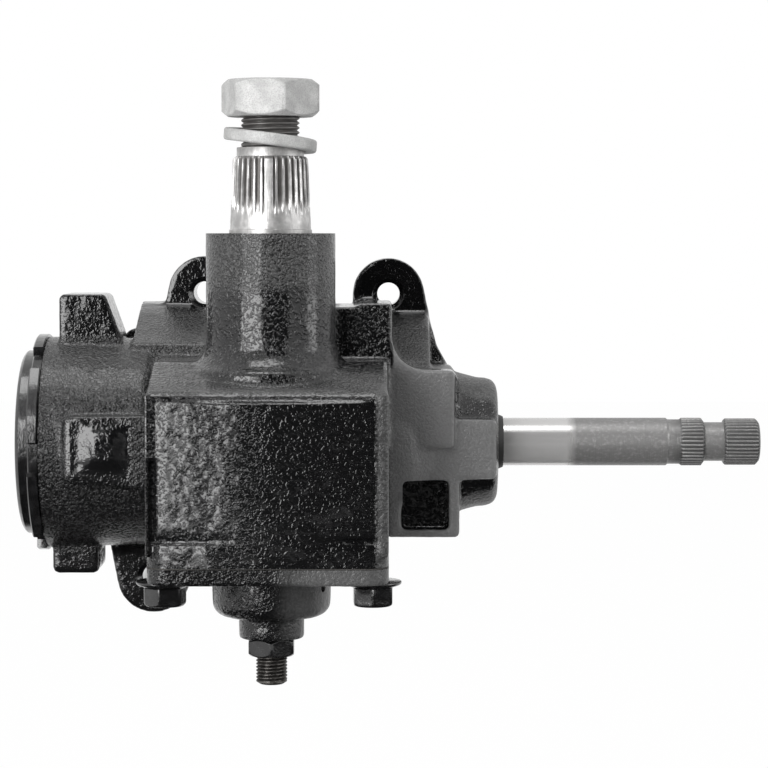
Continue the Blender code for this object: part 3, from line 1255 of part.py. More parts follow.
def build_guide_clamp():
    """A sprung strap screwed to the pad, with an arm over each return guide."""
    thick, seat = CLAMP_THICKNESS, PAD_HEIGHT + FACE_GAP
    crown = GUIDE_HEIGHT + GUIDE_RADIUS + FIT
    flat, reach = CLAMP_SEAT_HALF, CLAMP_REACH
    ramp = flat + thick
    outline = [(-reach, crown), (-ramp, crown), (-flat, seat), (flat, seat), (ramp, crown), (reach, crown)]
    inner = flat - thick * 0.6
    outline += [(reach, crown + thick), (ramp - thick * 0.6, crown + thick), (inner, seat + thick)]
    outline += [(-inner, seat + thick), (-ramp + thick * 0.6, crown + thick), (-reach, crown + thick)]
    clamp = plate("guide_clamp", outline, -CLAMP_HALF_WIDTH, CLAMP_HALF_WIDTH, "XY", WORM_LINE)
    radius = SCREW_RADIUS + FIT
    for side in (-1, 1):
        cut(clamp, rod(f"clamp_hole_{side + 1}", radius, -seat - thick * 2, -seat + thick, WORM_LINE,
                       Euler((math.pi / 2, 0, 0)), (0, 0, side * SCREW_SPREAD), COARSE // 2))
    finish_part(clamp, "dark_steel")
    head = seat + thick + FACE_GAP
    profile = [(0, head + SCREW_HEAD_HEIGHT), (SCREW_HEAD_RADIUS * 0.8, head + SCREW_HEAD_HEIGHT)]
    profile += [(SCREW_HEAD_RADIUS, head + SCREW_HEAD_HEIGHT * 0.6), (SCREW_HEAD_RADIUS, head)]
    profile.append((SCREW_RADIUS, head))
    profile += [(SCREW_RADIUS, PAD_HEIGHT - SCREW_DEPTH), (0, PAD_HEIGHT - SCREW_DEPTH)]
    for number, side in enumerate((-1, 1), 1):
        screw = turned(f"clamp_screw_{number}", profile, WORM_LINE, Euler((-math.pi / 2, 0, 0)),
                       (0, 0, side * SCREW_SPREAD), COARSE // 2)
        finish_part(screw, "dark_steel")


def build_circulating_balls():
    """Two rows of balls spaced along the track of the worm."""
    mesh = bpy.data.meshes.new("ball")
    shape = bmesh.new()
    bmesh.ops.create_uvsphere(shape, u_segments=8, v_segments=5, radius=BALL_RADIUS)
    shape.to_mesh(mesh)
    shape.free()
    number = 0
    for side in (-1, 1):
        first = round(side * CIRCUIT_OFFSET / WORM_LEAD * 360 / BALL_STEP_DEG) - CIRCUIT_BALLS // 2
        for index in range(CIRCUIT_BALLS):
            number += 1
            turns = (first + index) * BALL_STEP_DEG / 360
            angle = turns * math.tau
            ball = place_object(f"ball_{number:02d}", mesh.copy(), WORM_LINE)
            across, up = BALL_PATH_RADIUS * math.sin(angle), -BALL_PATH_RADIUS * math.cos(angle)
            ball.location = (turns * WORM_LEAD, across, up)
            finish_part(ball, "bright_steel")


# Worm bearing adjuster and lock ring

def build_adjuster():
    """The threaded plug that carries the left cup, with a sunk outer face and pin holes."""
    pilot = CAVITY_RADIUS - FIT
    nose_x = -CAVITY_HALF - FIT
    seat = -CUP_END - FACE_GAP
    pocket = seat - WORM_TAIL - FIT * 3
    rim = PLUG_RECESS / 3
    profile = [(CUP_RADIUS + FIT, nose_x), (pilot, nose_x), (pilot, PLUG_THREAD_END)]
    profile += [(PLUG_RADIUS, PLUG_THREAD_END), (PLUG_RADIUS, PLUG_END + rim), (PLUG_RADIUS - rim, PLUG_END)]
    profile += [(PLUG_RECESS_RADIUS, PLUG_END), (PLUG_RECESS_RADIUS - rim, PLUG_END + PLUG_RECESS)]
    profile += [(0, PLUG_END + PLUG_RECESS)]
    hollow = [(0, pocket), (RACE_PATH_RADIUS, pocket), (RACE_PATH_RADIUS, seat), (CUP_RADIUS + FIT, seat)]
    profile = hollow + profile
    plug = turned("worm_bearing_adjuster", profile, WORM_LINE, ALONG_X, steps=LARGE)

    def make(index):
        angle = math.tau * (index + 0.5) / PLUG_PINS
        place = Matrix.Rotation(angle, 4, "X") @ Matrix.Translation((PLUG_END + PLUG_RECESS, 0, PLUG_PIN_CIRCLE))
        size = {"sides": COARSE, "length": PLUG_RECESS * 2, "low": PLUG_PIN_RADIUS, "high": PLUG_PIN_RADIUS}
        return place @ Matrix.Rotation(math.pi / 2, 4, "Y"), size

    cut(plug, pattern("plug_pin_holes", PLUG_PINS, make, WORM_LINE))
    finish_part(plug, "cast_black")


def build_lock_ring():
    """A flat ring nut with spanner notches, tightened against the barrel."""
    inner = PLUG_RADIUS + FIT
    outer = inner + RING_WALL
    right = BARREL_END - FIT
    left = right - RING_THICKNESS
    rim = FIT * 2
    profile = [(outer - rim, right), (outer, right - rim), (outer, left + rim), (outer - rim, left)]
    profile += [(inner, left), (inner, right)]
    ring = turned("adjuster_lock_ring", profile, WORM_LINE, ALONG_X, steps=LARGE, ring=True)
    half = outer * math.sin(math.radians(RING_NOTCH_DEG) / 2)

    def make(index):
        angle = math.radians(RING_NOTCH_TURN_DEG) + math.tau * index / RING_NOTCHES
        reach = outer - RING_NOTCH_DEPTH + half
        place = Matrix.Rotation(-angle, 4, "X") @ Matrix.Translation(((left + right) / 2, -reach, 0))
        corner = half * math.sqrt(2)
        size = {"sides": 4, "length": RING_THICKNESS * 2, "low": corner, "high": corner}
        return place @ Matrix.Rotation(math.pi / 2, 4, "Y") @ Matrix.Rotation(math.pi / 4, 4, "Z"), size

    cut(ring, pattern("ring_notches", RING_NOTCHES, make, WORM_LINE))
    finish_part(ring, "cast_black")


def main():
    build_housing()
    build_side_cover()
    build_gasket()
    build_cover_bolts()
    build_bushings()
    build_sector_seal()
    build_lash_adjuster()
    build_sector_shaft()
    build_pitman_nut()
    build_lock_washer()
    build_worm()
    build_worm_bearings()
    build_worm_seal()
    build_ball_nut()
    build_ball_guides()
    build_guide_clamp()
    build_circulating_balls()
    build_adjuster()
    build_lock_ring()
    bpy.context.view_layer.update()


main()
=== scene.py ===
"""Looks of the manual steering gearbox, built round its packed CAD frame.

X runs along the worm to the input end, Y from the viewer to the frame rail and Z up
along the sector shaft. Lengths are in metres, and every piece is drawn where it sits.
"""

import json
import math

import bmesh
import bpy
import numpy as np
from bpy.props import FloatProperty, FloatVectorProperty, IntProperty, PointerProperty
from mathutils import Matrix, Vector, noise


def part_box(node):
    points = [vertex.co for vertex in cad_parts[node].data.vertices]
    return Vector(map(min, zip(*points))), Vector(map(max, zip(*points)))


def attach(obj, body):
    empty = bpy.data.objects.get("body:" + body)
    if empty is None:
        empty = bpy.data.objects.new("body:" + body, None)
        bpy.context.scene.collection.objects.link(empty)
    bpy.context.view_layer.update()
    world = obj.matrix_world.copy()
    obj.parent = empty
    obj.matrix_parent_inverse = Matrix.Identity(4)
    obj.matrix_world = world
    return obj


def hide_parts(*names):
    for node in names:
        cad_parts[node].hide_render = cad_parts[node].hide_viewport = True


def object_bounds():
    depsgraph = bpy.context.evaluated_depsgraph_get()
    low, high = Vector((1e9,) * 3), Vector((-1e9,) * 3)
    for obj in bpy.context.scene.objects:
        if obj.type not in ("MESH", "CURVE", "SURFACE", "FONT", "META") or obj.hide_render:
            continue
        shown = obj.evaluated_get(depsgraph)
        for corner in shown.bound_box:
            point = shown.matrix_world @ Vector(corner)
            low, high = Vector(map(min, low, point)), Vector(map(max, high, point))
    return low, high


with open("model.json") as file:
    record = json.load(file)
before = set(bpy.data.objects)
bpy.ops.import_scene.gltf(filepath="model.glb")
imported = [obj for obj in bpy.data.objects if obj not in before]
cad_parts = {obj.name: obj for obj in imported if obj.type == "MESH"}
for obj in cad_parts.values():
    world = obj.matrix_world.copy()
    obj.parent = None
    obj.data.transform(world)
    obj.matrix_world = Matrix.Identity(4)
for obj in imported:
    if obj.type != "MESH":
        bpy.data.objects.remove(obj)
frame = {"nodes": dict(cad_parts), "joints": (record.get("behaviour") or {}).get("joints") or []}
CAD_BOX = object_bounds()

bl_info = {
    "name": "Steering Gearbox Looks",
    "version": (1, 0, 0),
    "blender": (4, 5, 0),
    "location": "3D View > Sidebar > Gearbox",
    "description": "Castings, shafts, fasteners, finishes and studio of a manual steering gearbox",
    "category": "Object",
}

# Turns of the Z axis to the input end and to the viewer, and the lines that the frame gives
ALONG_X = Matrix.Rotation(math.pi / 2, 4, "Y")
TO_VIEWER = Matrix.Rotation(math.pi / 2, 4, "X")
JOINTS = {joint["name"]: Vector(joint["pos_m"]) for joint in frame["joints"] if joint["type"] == "hinge"}
WORM_LINE = Matrix.Translation(JOINTS["worm_turn"]) @ ALONG_X
SECTOR_LINE = Matrix.Translation(JOINTS["sector_swing"])
WORM_Y = JOINTS["worm_turn"].y
SECTOR_Y = JOINTS["sector_swing"].y


# Settings

def colour(name, description, default):
    return FloatVectorProperty(
        name=name, description=description, default=default, subtype="COLOR", size=3, min=0.0, max=1.0)


def length(name, description, default):
    return FloatProperty(
        name=name, description=description, default=default, min=0.0, unit="LENGTH", precision=5)


def share(name, description, default):
    return FloatProperty(
        name=name, description=description, default=default, min=0.0, max=1.0, subtype="FACTOR")


def power(name, description, default):
    return FloatProperty(name=name, description=description, default=default, min=0.0, unit="POWER")


class GearboxPaint(bpy.types.PropertyGroup):
    """Enamel on the castings and on the bolts."""

    enamel: colour("Enamel", "Colour of the black enamel", (0.0035, 0.0035, 0.0037))
    gloss: share("Gloss roughness", "Roughness where the enamel is thick and wet", 0.11)
    satin: share("Satin roughness", "Roughness where the enamel is thin and dry", 0.36)
    pebble_size: length("Pebble size", "Width of one pebble of the sand-cast skin", 0.0012)
    pebble_height: length("Pebble height", "Height of the pebbles", 0.00031)
    sand_size: length("Sand size", "Width of a grain of the dry cast skin", 0.0010)
    # This grey is painted sheen: the pale mark mixes it into the enamel where satin faces would show broad
    # reflections.
    dry: colour("Dry enamel", "Palest colour of the thin enamel on the dry skin", (0.14, 0.14, 0.14))


class GearboxMetal(bpy.types.PropertyGroup):
    """Bare and plated metal."""

    zinc: colour("Zinc", "Plating of the nut and the spring washer", (0.44, 0.44, 0.435))
    steel: colour("Steel", "Ground and machined steel", (0.47, 0.465, 0.46))
    blackened: colour("Blackened steel", "Oiled steel of the lash adjuster", (0.10, 0.095, 0.09))
    bronze: colour("Bronze", "Bushings of the sector shaft", (0.46, 0.29, 0.13))


class GearboxSizes(bpy.types.PropertyGroup):
    """Fine sizes that the frame leaves out."""

    voxel: length("Casting grid", "Grid on which the castings are fused", 0.0008)
    cast_rounds: IntProperty(
        name="Casting fillets", description="Smoothing passes over a casting", default=9, min=0)
    waviness: length("Waviness", "Unevenness of the cast walls", 0.00012)
    stud_pitch: length("Stud pitch", "Pitch of the sector shaft's thread", 0.0018)
    adjuster_pitch: length("Adjuster pitch", "Pitch of the lash adjuster's thread", 0.0013)
    thread_depth: share("Thread depth", "Depth of a thread as a share of its pitch", 0.55)
    spline_depth: length("Spline depth", "Depth of the splines at the top of the taper", 0.0013)
    serration_depth: length("Serration depth", "Depth of the serrations of the input end", 0.00055)


class GearboxStudio(bpy.types.PropertyGroup):
    """Floor, lamps and camera."""

    lens: FloatProperty(name="Lens", description="Focal length", default=122.7, min=1.0, unit="CAMERA")
    floor_drop: length("Floor drop", "Distance from the part's lowest point to the floor", 0.16)
    floor: colour("Floor", "Colour of the floor", (0.92, 0.92, 0.92))
    left_lamp: power("Left lamp", "Power of the tall lamp at the left", 24.0)
    top_lamp: power("Top lamp", "Power of the lamp overhead", 6.0)
    right_lamp: power("Right lamp", "Power of the lamp at the right", 4.5)
    sky: share("Surround", "Strength of the white surround on matt surfaces", 0.40)


def settings(name):
    return getattr(bpy.context.scene, name)


def sizes():
    return settings("gearbox_sizes")


# Meshes

# The two axes of an outline's plane and the one across it
PLANES = {"XY": (0, 1, 2), "XZ": (0, 2, 1), "YZ": (1, 2, 0)}
# Rows of points for each turn of a thread and for the cone of a nut's chamfer
THREAD_ROWS = 8
CONE_ROWS = 8
# Most of a side that one rounded corner may take
CORNER_SHARE = 0.49
# Waves for each metre of a cast wall, and the share that each adds to its unevenness
WAVES = ((160.0, 0.6), (420.0, 0.4))
WELD = 0.000001


class Shape:
    """Points and faces of one piece, gathered before they become a mesh."""

    def __init__(self):
        self.points = []
        self.faces = []

    def add(self, points, faces, place=Matrix.Identity(4)):
        start = len(self.points)
        self.points += [tuple(place @ Vector(point)) for point in points]
        self.faces += [tuple(start + corner for corner in face) for face in faces]
        return self

    def rings(self, stations, steps=96, place=SECTOR_LINE, loop=False):
        """Rings of points about an axis, outer side running down; a radius may differ at each step."""
        angles = ring_angles(steps)
        points = []
        for radius, height in stations:
            reach = np.broadcast_to(radius, steps)
            row = np.stack([reach * np.cos(angles), reach * np.sin(angles), np.full(steps, height)], 1)
            points += row.tolist()
        faces = []
        count = len(stations)
        for row in range(count if loop else count - 1):
            upper, lower = row * steps, (row + 1) % count * steps
            for step in range(steps):
                after = (step + 1) % steps
                faces.append((upper + step, lower + step, lower + after, upper + after))
        if not loop:
            faces.append(tuple(range(steps)))
            faces.append(tuple(reversed(range((count - 1) * steps, count * steps))))
        return self.add(points, faces, place)

    def prism(self, outline, low, high, plane="XY"):
        """A closed outline given a thickness from low to high across its plane."""
        count = len(outline)
        axes = PLANES[plane]
        spots = [(u, v, level) for level in (low, high) for u, v in outline]
        points = [[spot[axes.index(axis)] for axis in range(3)] for spot in spots]
        faces = [tuple(reversed(range(count))), tuple(range(count, 2 * count))]
        for step in range(count):
            after = (step + 1) % count
            faces.append((step, after, count + after, count + step))
        return self.add(points, faces)

    def slab(self, low, high, corner=0.002, plane="XZ"):
        """A block with four rounded corners in one plane."""
        first, second, across = PLANES[plane]
        left, right, foot, top = low[first], high[first], low[second], high[second]
        outline = rounded([(left, foot), (right, foot), (right, top), (left, top)], corner)
        return self.prism(outline, low[across], high[across], plane)

    def mesh(self, name):
        mesh = bpy.data.meshes.new(name)
        mesh.from_pydata(self.points, [], self.faces)
        form = bmesh.new()
        form.from_mesh(mesh)
        bmesh.ops.recalc_face_normals(form, faces=form.faces)
        form.to_mesh(mesh)
        form.free()
        return mesh

    def piece(self, name):
        item = bpy.data.objects.new(name, self.mesh(name))
        bpy.context.scene.collection.objects.link(item)
        return item


def ring_angles(steps):
    return np.arange(steps) * (math.tau / steps)


def arc(u, v, radius, start_deg, end_deg, count):
    """Points along a round stretch, both ends included."""
    span = [math.radians(start_deg + (end_deg - start_deg) * step / count) for step in range(count + 1)]
    return [(u + radius * math.cos(angle), v + radius * math.sin(angle)) for angle in span]


def rounded(points, radius, count=5):
    """A closed outline with its corners rounded."""
    outline = []
    for index, point in enumerate(points):
        here = Vector(point)
        back = Vector(points[index - 1]) - here
        ahead = Vector(points[(index + 1) % len(points)]) - here
        most = min(back.length, ahead.length) * CORNER_SHARE
        run = min(radius / math.tan(back.angle(ahead) / 2), most)
        start, end = here + back.normalized() * run, here + ahead.normalized() * run
        for step in range(count + 1):
            part = step / count
            bend = start.lerp(here, part).lerp(here.lerp(end, part), part)
            outline.append(tuple(bend))
    return outline


def hexagon(flats, turn_deg, steps=96):
    """Reach of a hexagon in every direction."""
    angles = ring_angles(steps) - math.radians(turn_deg)
    sector = np.mod(angles, math.pi / 3) - math.pi / 6
    return flats / 2 / np.cos(sector)


def thread(radius, pitch, low, high, steps):
    """Stations of a right-hand thread from its top to its foot, fading out at both."""
    depth = pitch * sizes().thread_depth
    angles = ring_angles(steps)
    rows = max(2, round((high - low) / pitch * THREAD_ROWS))
    stations = []
    for row in range(rows + 1):
        height = high - (high - low) * row / rows
        phase = np.mod(height / pitch - angles / math.tau, 1.0)
        crest = np.clip(1.25 - 2.5 * np.abs(phase - 0.5), 0.0, 1.0)
        fade = min(1.0, min(height - low, high - height) / pitch * 1.5)
        stations.append((radius - depth * (1 - crest) * fade, height))
    return stations


def chamfered(outer, flat, top, foot, rise):
    """Stations of a hexagon bar whose corners are turned away in a cone at both ends."""
    parts = [row / CONE_ROWS for row in range(CONE_ROWS + 1)]
    reach = outer.max()
    cone = [(np.minimum(outer, flat + (reach - flat) * part), rise * part) for part in parts]
    return [(row, top - drop) for row, drop in cone] + [(row, foot + drop) for row, drop in reversed(cone)]


def settle(item):
    """Replace a piece's mesh by what its modifiers make of it."""
    bpy.context.view_layer.update()
    mesh = bpy.data.meshes.new_from_object(item.evaluated_get(bpy.context.evaluated_depsgraph_get()))
    item.modifiers.clear()
    old = item.data
    item.data = mesh
    bpy.data.meshes.remove(old)


def modify(item, kind, **values):
    step = item.modifiers.new(kind.title(), kind)
    for key, value in values.items():
        setattr(step, key, value)


def combine(item, shape, operation="DIFFERENCE"):
    """Cut, join or trim a piece by a shape."""
    tool = shape.piece(item.name + "_tool")
    modify(item, "BOOLEAN", operation=operation, solver="MANIFOLD", object=tool)
    settle(item)
    bpy.data.objects.remove(tool, do_unlink=True)


def point_table(item):
    """Places and normals of a piece's points, a row each."""
    places, normals = np.zeros(len(item.data.vertices) * 3), np.zeros(len(item.data.vertices) * 3)
    item.data.vertices.foreach_get("co", places)
    item.data.vertices.foreach_get("normal", normals)
    return places.reshape(-1, 3), normals.reshape(-1, 3)


def cast(name, shape, cuts, faces, grid=1.0):
    """Fuse closed forms into one casting with fillets and uneven walls, then machine it."""
    item = shape.piece(name)
    modify(item, "REMESH", mode="VOXEL", voxel_size=sizes().voxel * grid)
    modify(item, "SMOOTH", factor=0.5, iterations=sizes().cast_rounds)
    settle(item)
    places, normals = point_table(item)
    lifts = [sum(noise.noise(Vector(spot * rate)) * part for rate, part in WAVES) for spot in places]
    places += normals * (np.array(lifts) * sizes().waviness)[:, None]
    item.data.vertices.foreach_set("co", places.ravel())
    item.data.update()
    for tool in cuts:
        combine(item, tool)
    triangles = sum(len(face.vertices) - 2 for face in item.data.polygons)
    if triangles > faces:
        modify(item, "DECIMATE", ratio=faces / triangles)
        settle(item)
    return item


def cad_part(name, axis, cut_at, keep_low=True):
    """The part of a CAD node on one side of a plane across an axis, closed there."""
    form = bmesh.new()
    form.from_mesh(frame["nodes"][name].data)
    bmesh.ops.remove_doubles(form, verts=form.verts, dist=WELD)
    normal = Vector([float(letter == axis) for letter in "XYZ"])
    result = bmesh.ops.bisect_plane(
        form, geom=form.verts[:] + form.edges[:] + form.faces[:], plane_co=normal * cut_at, plane_no=normal,
        clear_outer=keep_low, clear_inner=not keep_low)
    edges = [item for item in result["geom_cut"] if isinstance(item, bmesh.types.BMEdge)]
    bmesh.ops.contextual_create(form, geom=edges)
    bmesh.ops.recalc_face_normals(form, faces=form.faces)
    index = {vert: number for number, vert in enumerate(form.verts)}
    shape = Shape()
    shape.points = [tuple(vert.co) for vert in form.verts]
    shape.faces = [tuple(index[vert] for vert in face.verts) for face in form.faces]
    form.free()
    return shape


def dress(item, finish, body, slot, *nodes, angle=32.0):
    """Shade a piece, give it its finish and let it ride on its body."""
    item.data.materials.clear()
    item.data.materials.append(material(finish))
    item.data.shade_smooth()
    item.data.set_sharp_from_angle(angle=math.radians(angle))
    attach(item, body)
    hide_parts(*nodes)


# Finishes

class Wire:
    """A value from a node's socket, which can be written into sums and products."""

    def __init__(self, nodes, socket):
        self.nodes = nodes
        self.socket = socket

    def maths(self, operation, first, second):
        return self.nodes.node("ShaderNodeMath", {0: first, 1: second}, operation=operation)

    def __add__(self, other):
        return self.maths("ADD", self, other)

    def __sub__(self, other):
        return self.maths("SUBTRACT", self, other)

    def __rsub__(self, other):
        return self.maths("SUBTRACT", other, self)

    def __mul__(self, other):
        return self.maths("MULTIPLY", self, other)

    __radd__ = __add__
    __rmul__ = __mul__


class Nodes:
    """A node tree that grows by one method."""

    def __init__(self, tree):
        self.tree = tree

    def node(self, kind, sockets, out=0, **facts):
        """One node: its own settings first, then the values or wires of its sockets."""
        node = self.tree.nodes.new(kind)
        for key, value in facts.items():
            setattr(node, key, value)
        for key, value in sockets.items():
            self.feed(node.inputs[key], value)
        return Wire(self, node.outputs[out])

    def feed(self, socket, value):
        """Link a wire to a socket, or set the socket's own value."""
        if isinstance(value, Wire):
            self.tree.links.new(value.socket, socket)
        else:
            socket.default_value = value

    def seen_directly(self):
        """One where a surface is seen, mirrored or looked through, nought where it lights others."""
        camera, glossy, clear = [self.node("ShaderNodeLightPath", {}, f"Is {kind} Ray")
                                 for kind in ("Camera", "Glossy", "Transmission")]
        return self.node("ShaderNodeMath", {0: camera + glossy + clear, 1: 1.0}, operation="MINIMUM")


class Finish(Nodes):
    """One procedural material."""

    # The shader's sockets that may change over a surface
    OUTPUTS = {"tone": "Base Color", "rough": "Roughness", "coat": "Coat Weight", "relief": "Normal"}

    def __init__(self, name, constants):
        self.material = bpy.data.materials.new(name)
        self.material.use_nodes = True
        super().__init__(self.material.node_tree)
        self.shader = self.tree.nodes["Principled BSDF"]
        for key, value in constants.items():
            self.feed(self.shader.inputs[key], value)

    def spot(self, stretch=(1, 1, 1)):
        """Where on the piece a point lies, in metres."""
        place = self.node("ShaderNodeTexCoord", {}, "Object")
        return self.node("ShaderNodeVectorMath", {0: place, 1: stretch}, operation="MULTIPLY")

    def grain(self, size, detail=2.0, stretch=(1, 1, 1), harsh=0.5):
        """Cloudy noise whose patches are about size across."""
        return self.node("ShaderNodeTexNoise", {
            "Vector": self.spot(stretch), "Scale": 1 / size, "Detail": detail, "Roughness": harsh})

    def cells(self, size):
        """Distance to the nearest of many scattered spots."""
        return self.node("ShaderNodeTexVoronoi", {"Vector": self.spot(), "Scale": 1 / size}, "Distance")

    def fade(self, value, low, high):
        """A smooth step of a value from nought at low to one at high."""
        return self.node(
            "ShaderNodeMapRange", {"Value": value, "From Min": low, "From Max": high},
            interpolation_type="SMOOTHSTEP")

    def mark(self, name):
        """A mask stored on the piece's points."""
        return self.node("ShaderNodeAttribute", {}, "Fac", attribute_name=name)

    def mix(self, part, first, second):
        first, second = [tone if isinstance(tone, Wire) else (*tone, 1.0) for tone in (first, second)]
        return self.node("ShaderNodeMix", {0: part, 6: first, 7: second}, 2, data_type="RGBA")

    def bump(self, height, depth):
        return self.node("ShaderNodeBump", {"Height": height, "Distance": depth, "Strength": 1.0}, "Normal")

    def wear(self, **outputs):
        """Feed what changes over the surface to the shader."""
        for key, value in outputs.items():
            self.feed(self.shader.inputs[self.OUTPUTS[key]], value)
        return self.material


def tint(rgb, factor):
    return tuple(min(1.0, channel * factor) for channel in rgb)


def enamel():
    """Black enamel over a sand-cast skin: wet and pebbled in places, thin and dry in others, where the pale
    mark lifts the colour toward grey as painted sheen.
    """
    paint = settings("gearbox_paint")
    finish = Finish("pebbled black enamel", {
        "Metallic": 0.0, "Coat Roughness": 0.05, "Specular IOR Level": 0.45})
    wet, pebbled, sandy, pale = [finish.mark(name) for name in ("wet", "pebbled", "sandy", "pale")]
    size = paint.pebble_size
    lumps = finish.fade(finish.grain(size * 1.2, 1.0), 0.48, 0.70)
    specks = finish.fade(finish.grain(size * 0.6, 1.0), 0.56, 0.74)
    peel = finish.grain(size * 3.5, 1.0)
    sand = finish.grain(paint.sand_size, 1.0)
    cloud = finish.grain(0.012, 4.0, harsh=0.6)
    gloss = finish.fade(wet + (cloud - 0.5) * 0.3, 0.15, 0.85)
    height = (lumps * 1.1 + specks * 0.45) * pebbled + peel * 0.8
    height = height + finish.fade(sand, 0.36, 0.64) * sandy * 1.1
    rough = paint.satin + (paint.gloss - paint.satin) * gloss + (sand - 0.5) * sandy * 0.2
    dusty = finish.fade(sand * 0.7 + cloud * 0.3, 0.42, 0.60) - 0.5
    # Painted sheen: the pale mark lifts the dry colour from near black toward the pale grey, in place of the
    # broad reflections of satin faces; the dusty grain only varies it at random.
    dry = finish.mix(pale + dusty * sandy * 0.6, tint(paint.dry, 0.06), paint.dry)
    tone = finish.mix(gloss, dry, paint.enamel)
    relief = finish.bump(height, paint.pebble_height)
    return finish.wear(tone=tone, rough=rough, coat=gloss * 0.25, relief=relief)


def bolt_enamel():
    paint = settings("gearbox_paint")
    finish = Finish("glossy black bolts", {"Metallic": 0.0, "Coat Weight": 0.5, "Coat Roughness": 0.05})
    skin = finish.grain(0.004, 3.0)
    dust = finish.grain(0.0007, 2.0)
    tone = finish.mix(finish.fade(skin, 0.4, 0.7), paint.enamel, tint(paint.enamel, 2.6))
    relief = finish.bump(skin * 0.8 + dust * 0.2, 0.0003)
    return finish.wear(tone=tone, rough=0.12 + skin * 0.16, relief=relief)


def zinc_plate():
    metal = settings("gearbox_metal")
    finish = Finish("grainy zinc plate", {"Metallic": 0.35})
    grain = finish.grain(0.00045, 3.0, harsh=0.7)
    stains = finish.grain(0.006, 4.0)
    pits = finish.fade(finish.cells(0.0011), 0.05, 0.16)
    shade = finish.mix(finish.fade(stains, 0.35, 0.7), tint(metal.zinc, 0.86), tint(metal.zinc, 1.12))
    tone = finish.mix(finish.fade(grain, 0.45, 0.62) * 0.5, shade, (0.24, 0.24, 0.24))
    return finish.wear(tone=tone, rough=0.50 + grain * 0.28, relief=finish.bump(grain + pits * 0.25, 0.00012))


def splined_steel():
    """Ground steel with dark grooves and stains."""
    metal = settings("gearbox_metal")
    finish = Finish("ground splined steel", {"Metallic": 0.75})
    lines = finish.grain(0.0005, 3.0, (1, 1, 0.06))
    stains = finish.grain(0.003, 4.0)
    groove = finish.mark("groove")
    shade = finish.mix(finish.fade(stains, 0.35, 0.75), tint(metal.steel, 0.75), tint(metal.steel, 1.2))
    tone = finish.mix(groove * 0.85, shade, (0.08, 0.075, 0.07))
    return finish.wear(tone=tone, rough=0.30 + lines * 0.2 + groove * 0.2, relief=finish.bump(lines, 0.00006))


def turned_steel():
    """Input shaft: polished next to the seal, then turned with fine rings."""
    metal = settings("gearbox_metal")
    finish = Finish("polished and turned steel", {"Metallic": 0.55})
    turned = finish.mark("turned")
    rings = finish.grain(0.0004, 2.0, (1, 0.02, 0.02))
    blotches = finish.grain(0.0011, 4.0, (0.8, 1, 1))
    shade = finish.mix(turned, tint(metal.steel, 1.12), tint(metal.steel, 0.42))
    tone = finish.mix(finish.fade(blotches, 0.45, 0.8) * turned * 0.4, shade, tint(metal.steel, 0.9))
    tone = finish.mix(finish.mark("groove") * 0.9, tone, (0.05, 0.05, 0.05))
    rough = 0.13 + turned * 0.26 + rings * 0.1
    return finish.wear(tone=tone, rough=rough, relief=finish.bump(rings * (0.25 + turned), 0.00007))


def oiled_steel():
    metal = settings("gearbox_metal")
    finish = Finish("oiled dark steel", {"Metallic": 0.9})
    grime = finish.grain(0.0012, 4.0)
    groove = finish.mark("groove")
    shade = finish.mix(finish.fade(grime, 0.3, 0.7), tint(metal.blackened, 0.6), tint(metal.blackened, 1.5))
    tone = finish.mix(groove * 0.8, shade, (0.015, 0.014, 0.013))
    return finish.wear(tone=tone, rough=0.40 + grime * 0.2, relief=finish.bump(grime, 0.0001))


def plain_metal(name, rgb, rough):
    """Machined metal of the inner pieces."""
    finish = Finish(name, {"Metallic": 1.0})
    marks = finish.grain(0.0006, 3.0, (1, 1, 0.1))
    stains = finish.grain(0.005, 3.0)
    tone = finish.mix(finish.fade(stains, 0.3, 0.75), tint(rgb, 0.8), tint(rgb, 1.15))
    return finish.wear(tone=tone, rough=rough + marks * 0.18, relief=finish.bump(marks, 0.00004))


def rubber():
    finish = Finish("black seal rubber", {"Metallic": 0.0})
    skin = finish.grain(0.0008, 3.0)
    tone = finish.mix(skin, (0.012, 0.012, 0.012), (0.028, 0.027, 0.026))
    return finish.wear(tone=tone, rough=0.45 + skin * 0.25, relief=finish.bump(skin, 0.00008))


def gasket_paper():
    finish = Finish("painted gasket paper", {"Metallic": 0.0})
    fibre = finish.grain(0.0006, 4.0, harsh=0.7)
    tone = finish.mix(fibre, (0.010, 0.010, 0.010), (0.05, 0.045, 0.04))
    return finish.wear(tone=tone, rough=0.5 + fibre * 0.3, relief=finish.bump(fibre, 0.0001))


FINISHES = {
    "enamel": enamel,
    "bolts": bolt_enamel,
    "zinc": zinc_plate,
    "splined": splined_steel,
    "turned": turned_steel,
    "oiled": oiled_steel,
    "steel": lambda: plain_metal("bearing steel", settings("gearbox_metal").steel, 0.16),
    "blackened": lambda: plain_metal("blackened steel", settings("gearbox_metal").blackened, 0.3),
    "bronze": lambda: plain_metal("bushing bronze", settings("gearbox_metal").bronze, 0.24),
    "rubber": rubber,
    "paper": gasket_paper,
}
MADE = {}


def material(name):
    """A finish by its short name, made once."""
    if name not in MADE:
        MADE[name] = FINISHES[name]()
    return MADE[name]


def mark(item, name, measure):
    """Store a mask on a piece's points; measure takes arrays of x, y, z and of how far a normal points up."""
    places, normals = point_table(item)
    values = np.broadcast_to(measure(*places.T, normals[:, 2]), len(places))
    layer = item.data.attributes.new(name, "FLOAT", "POINT")
    layer.data.foreach_set("value", np.clip(values, 0, 1).astype(np.float32))


def smooth(value, low, high):
    part = np.clip((value - low) / (high - low), 0, 1)
    return part * part * (3 - 2 * part)


# Gear housing

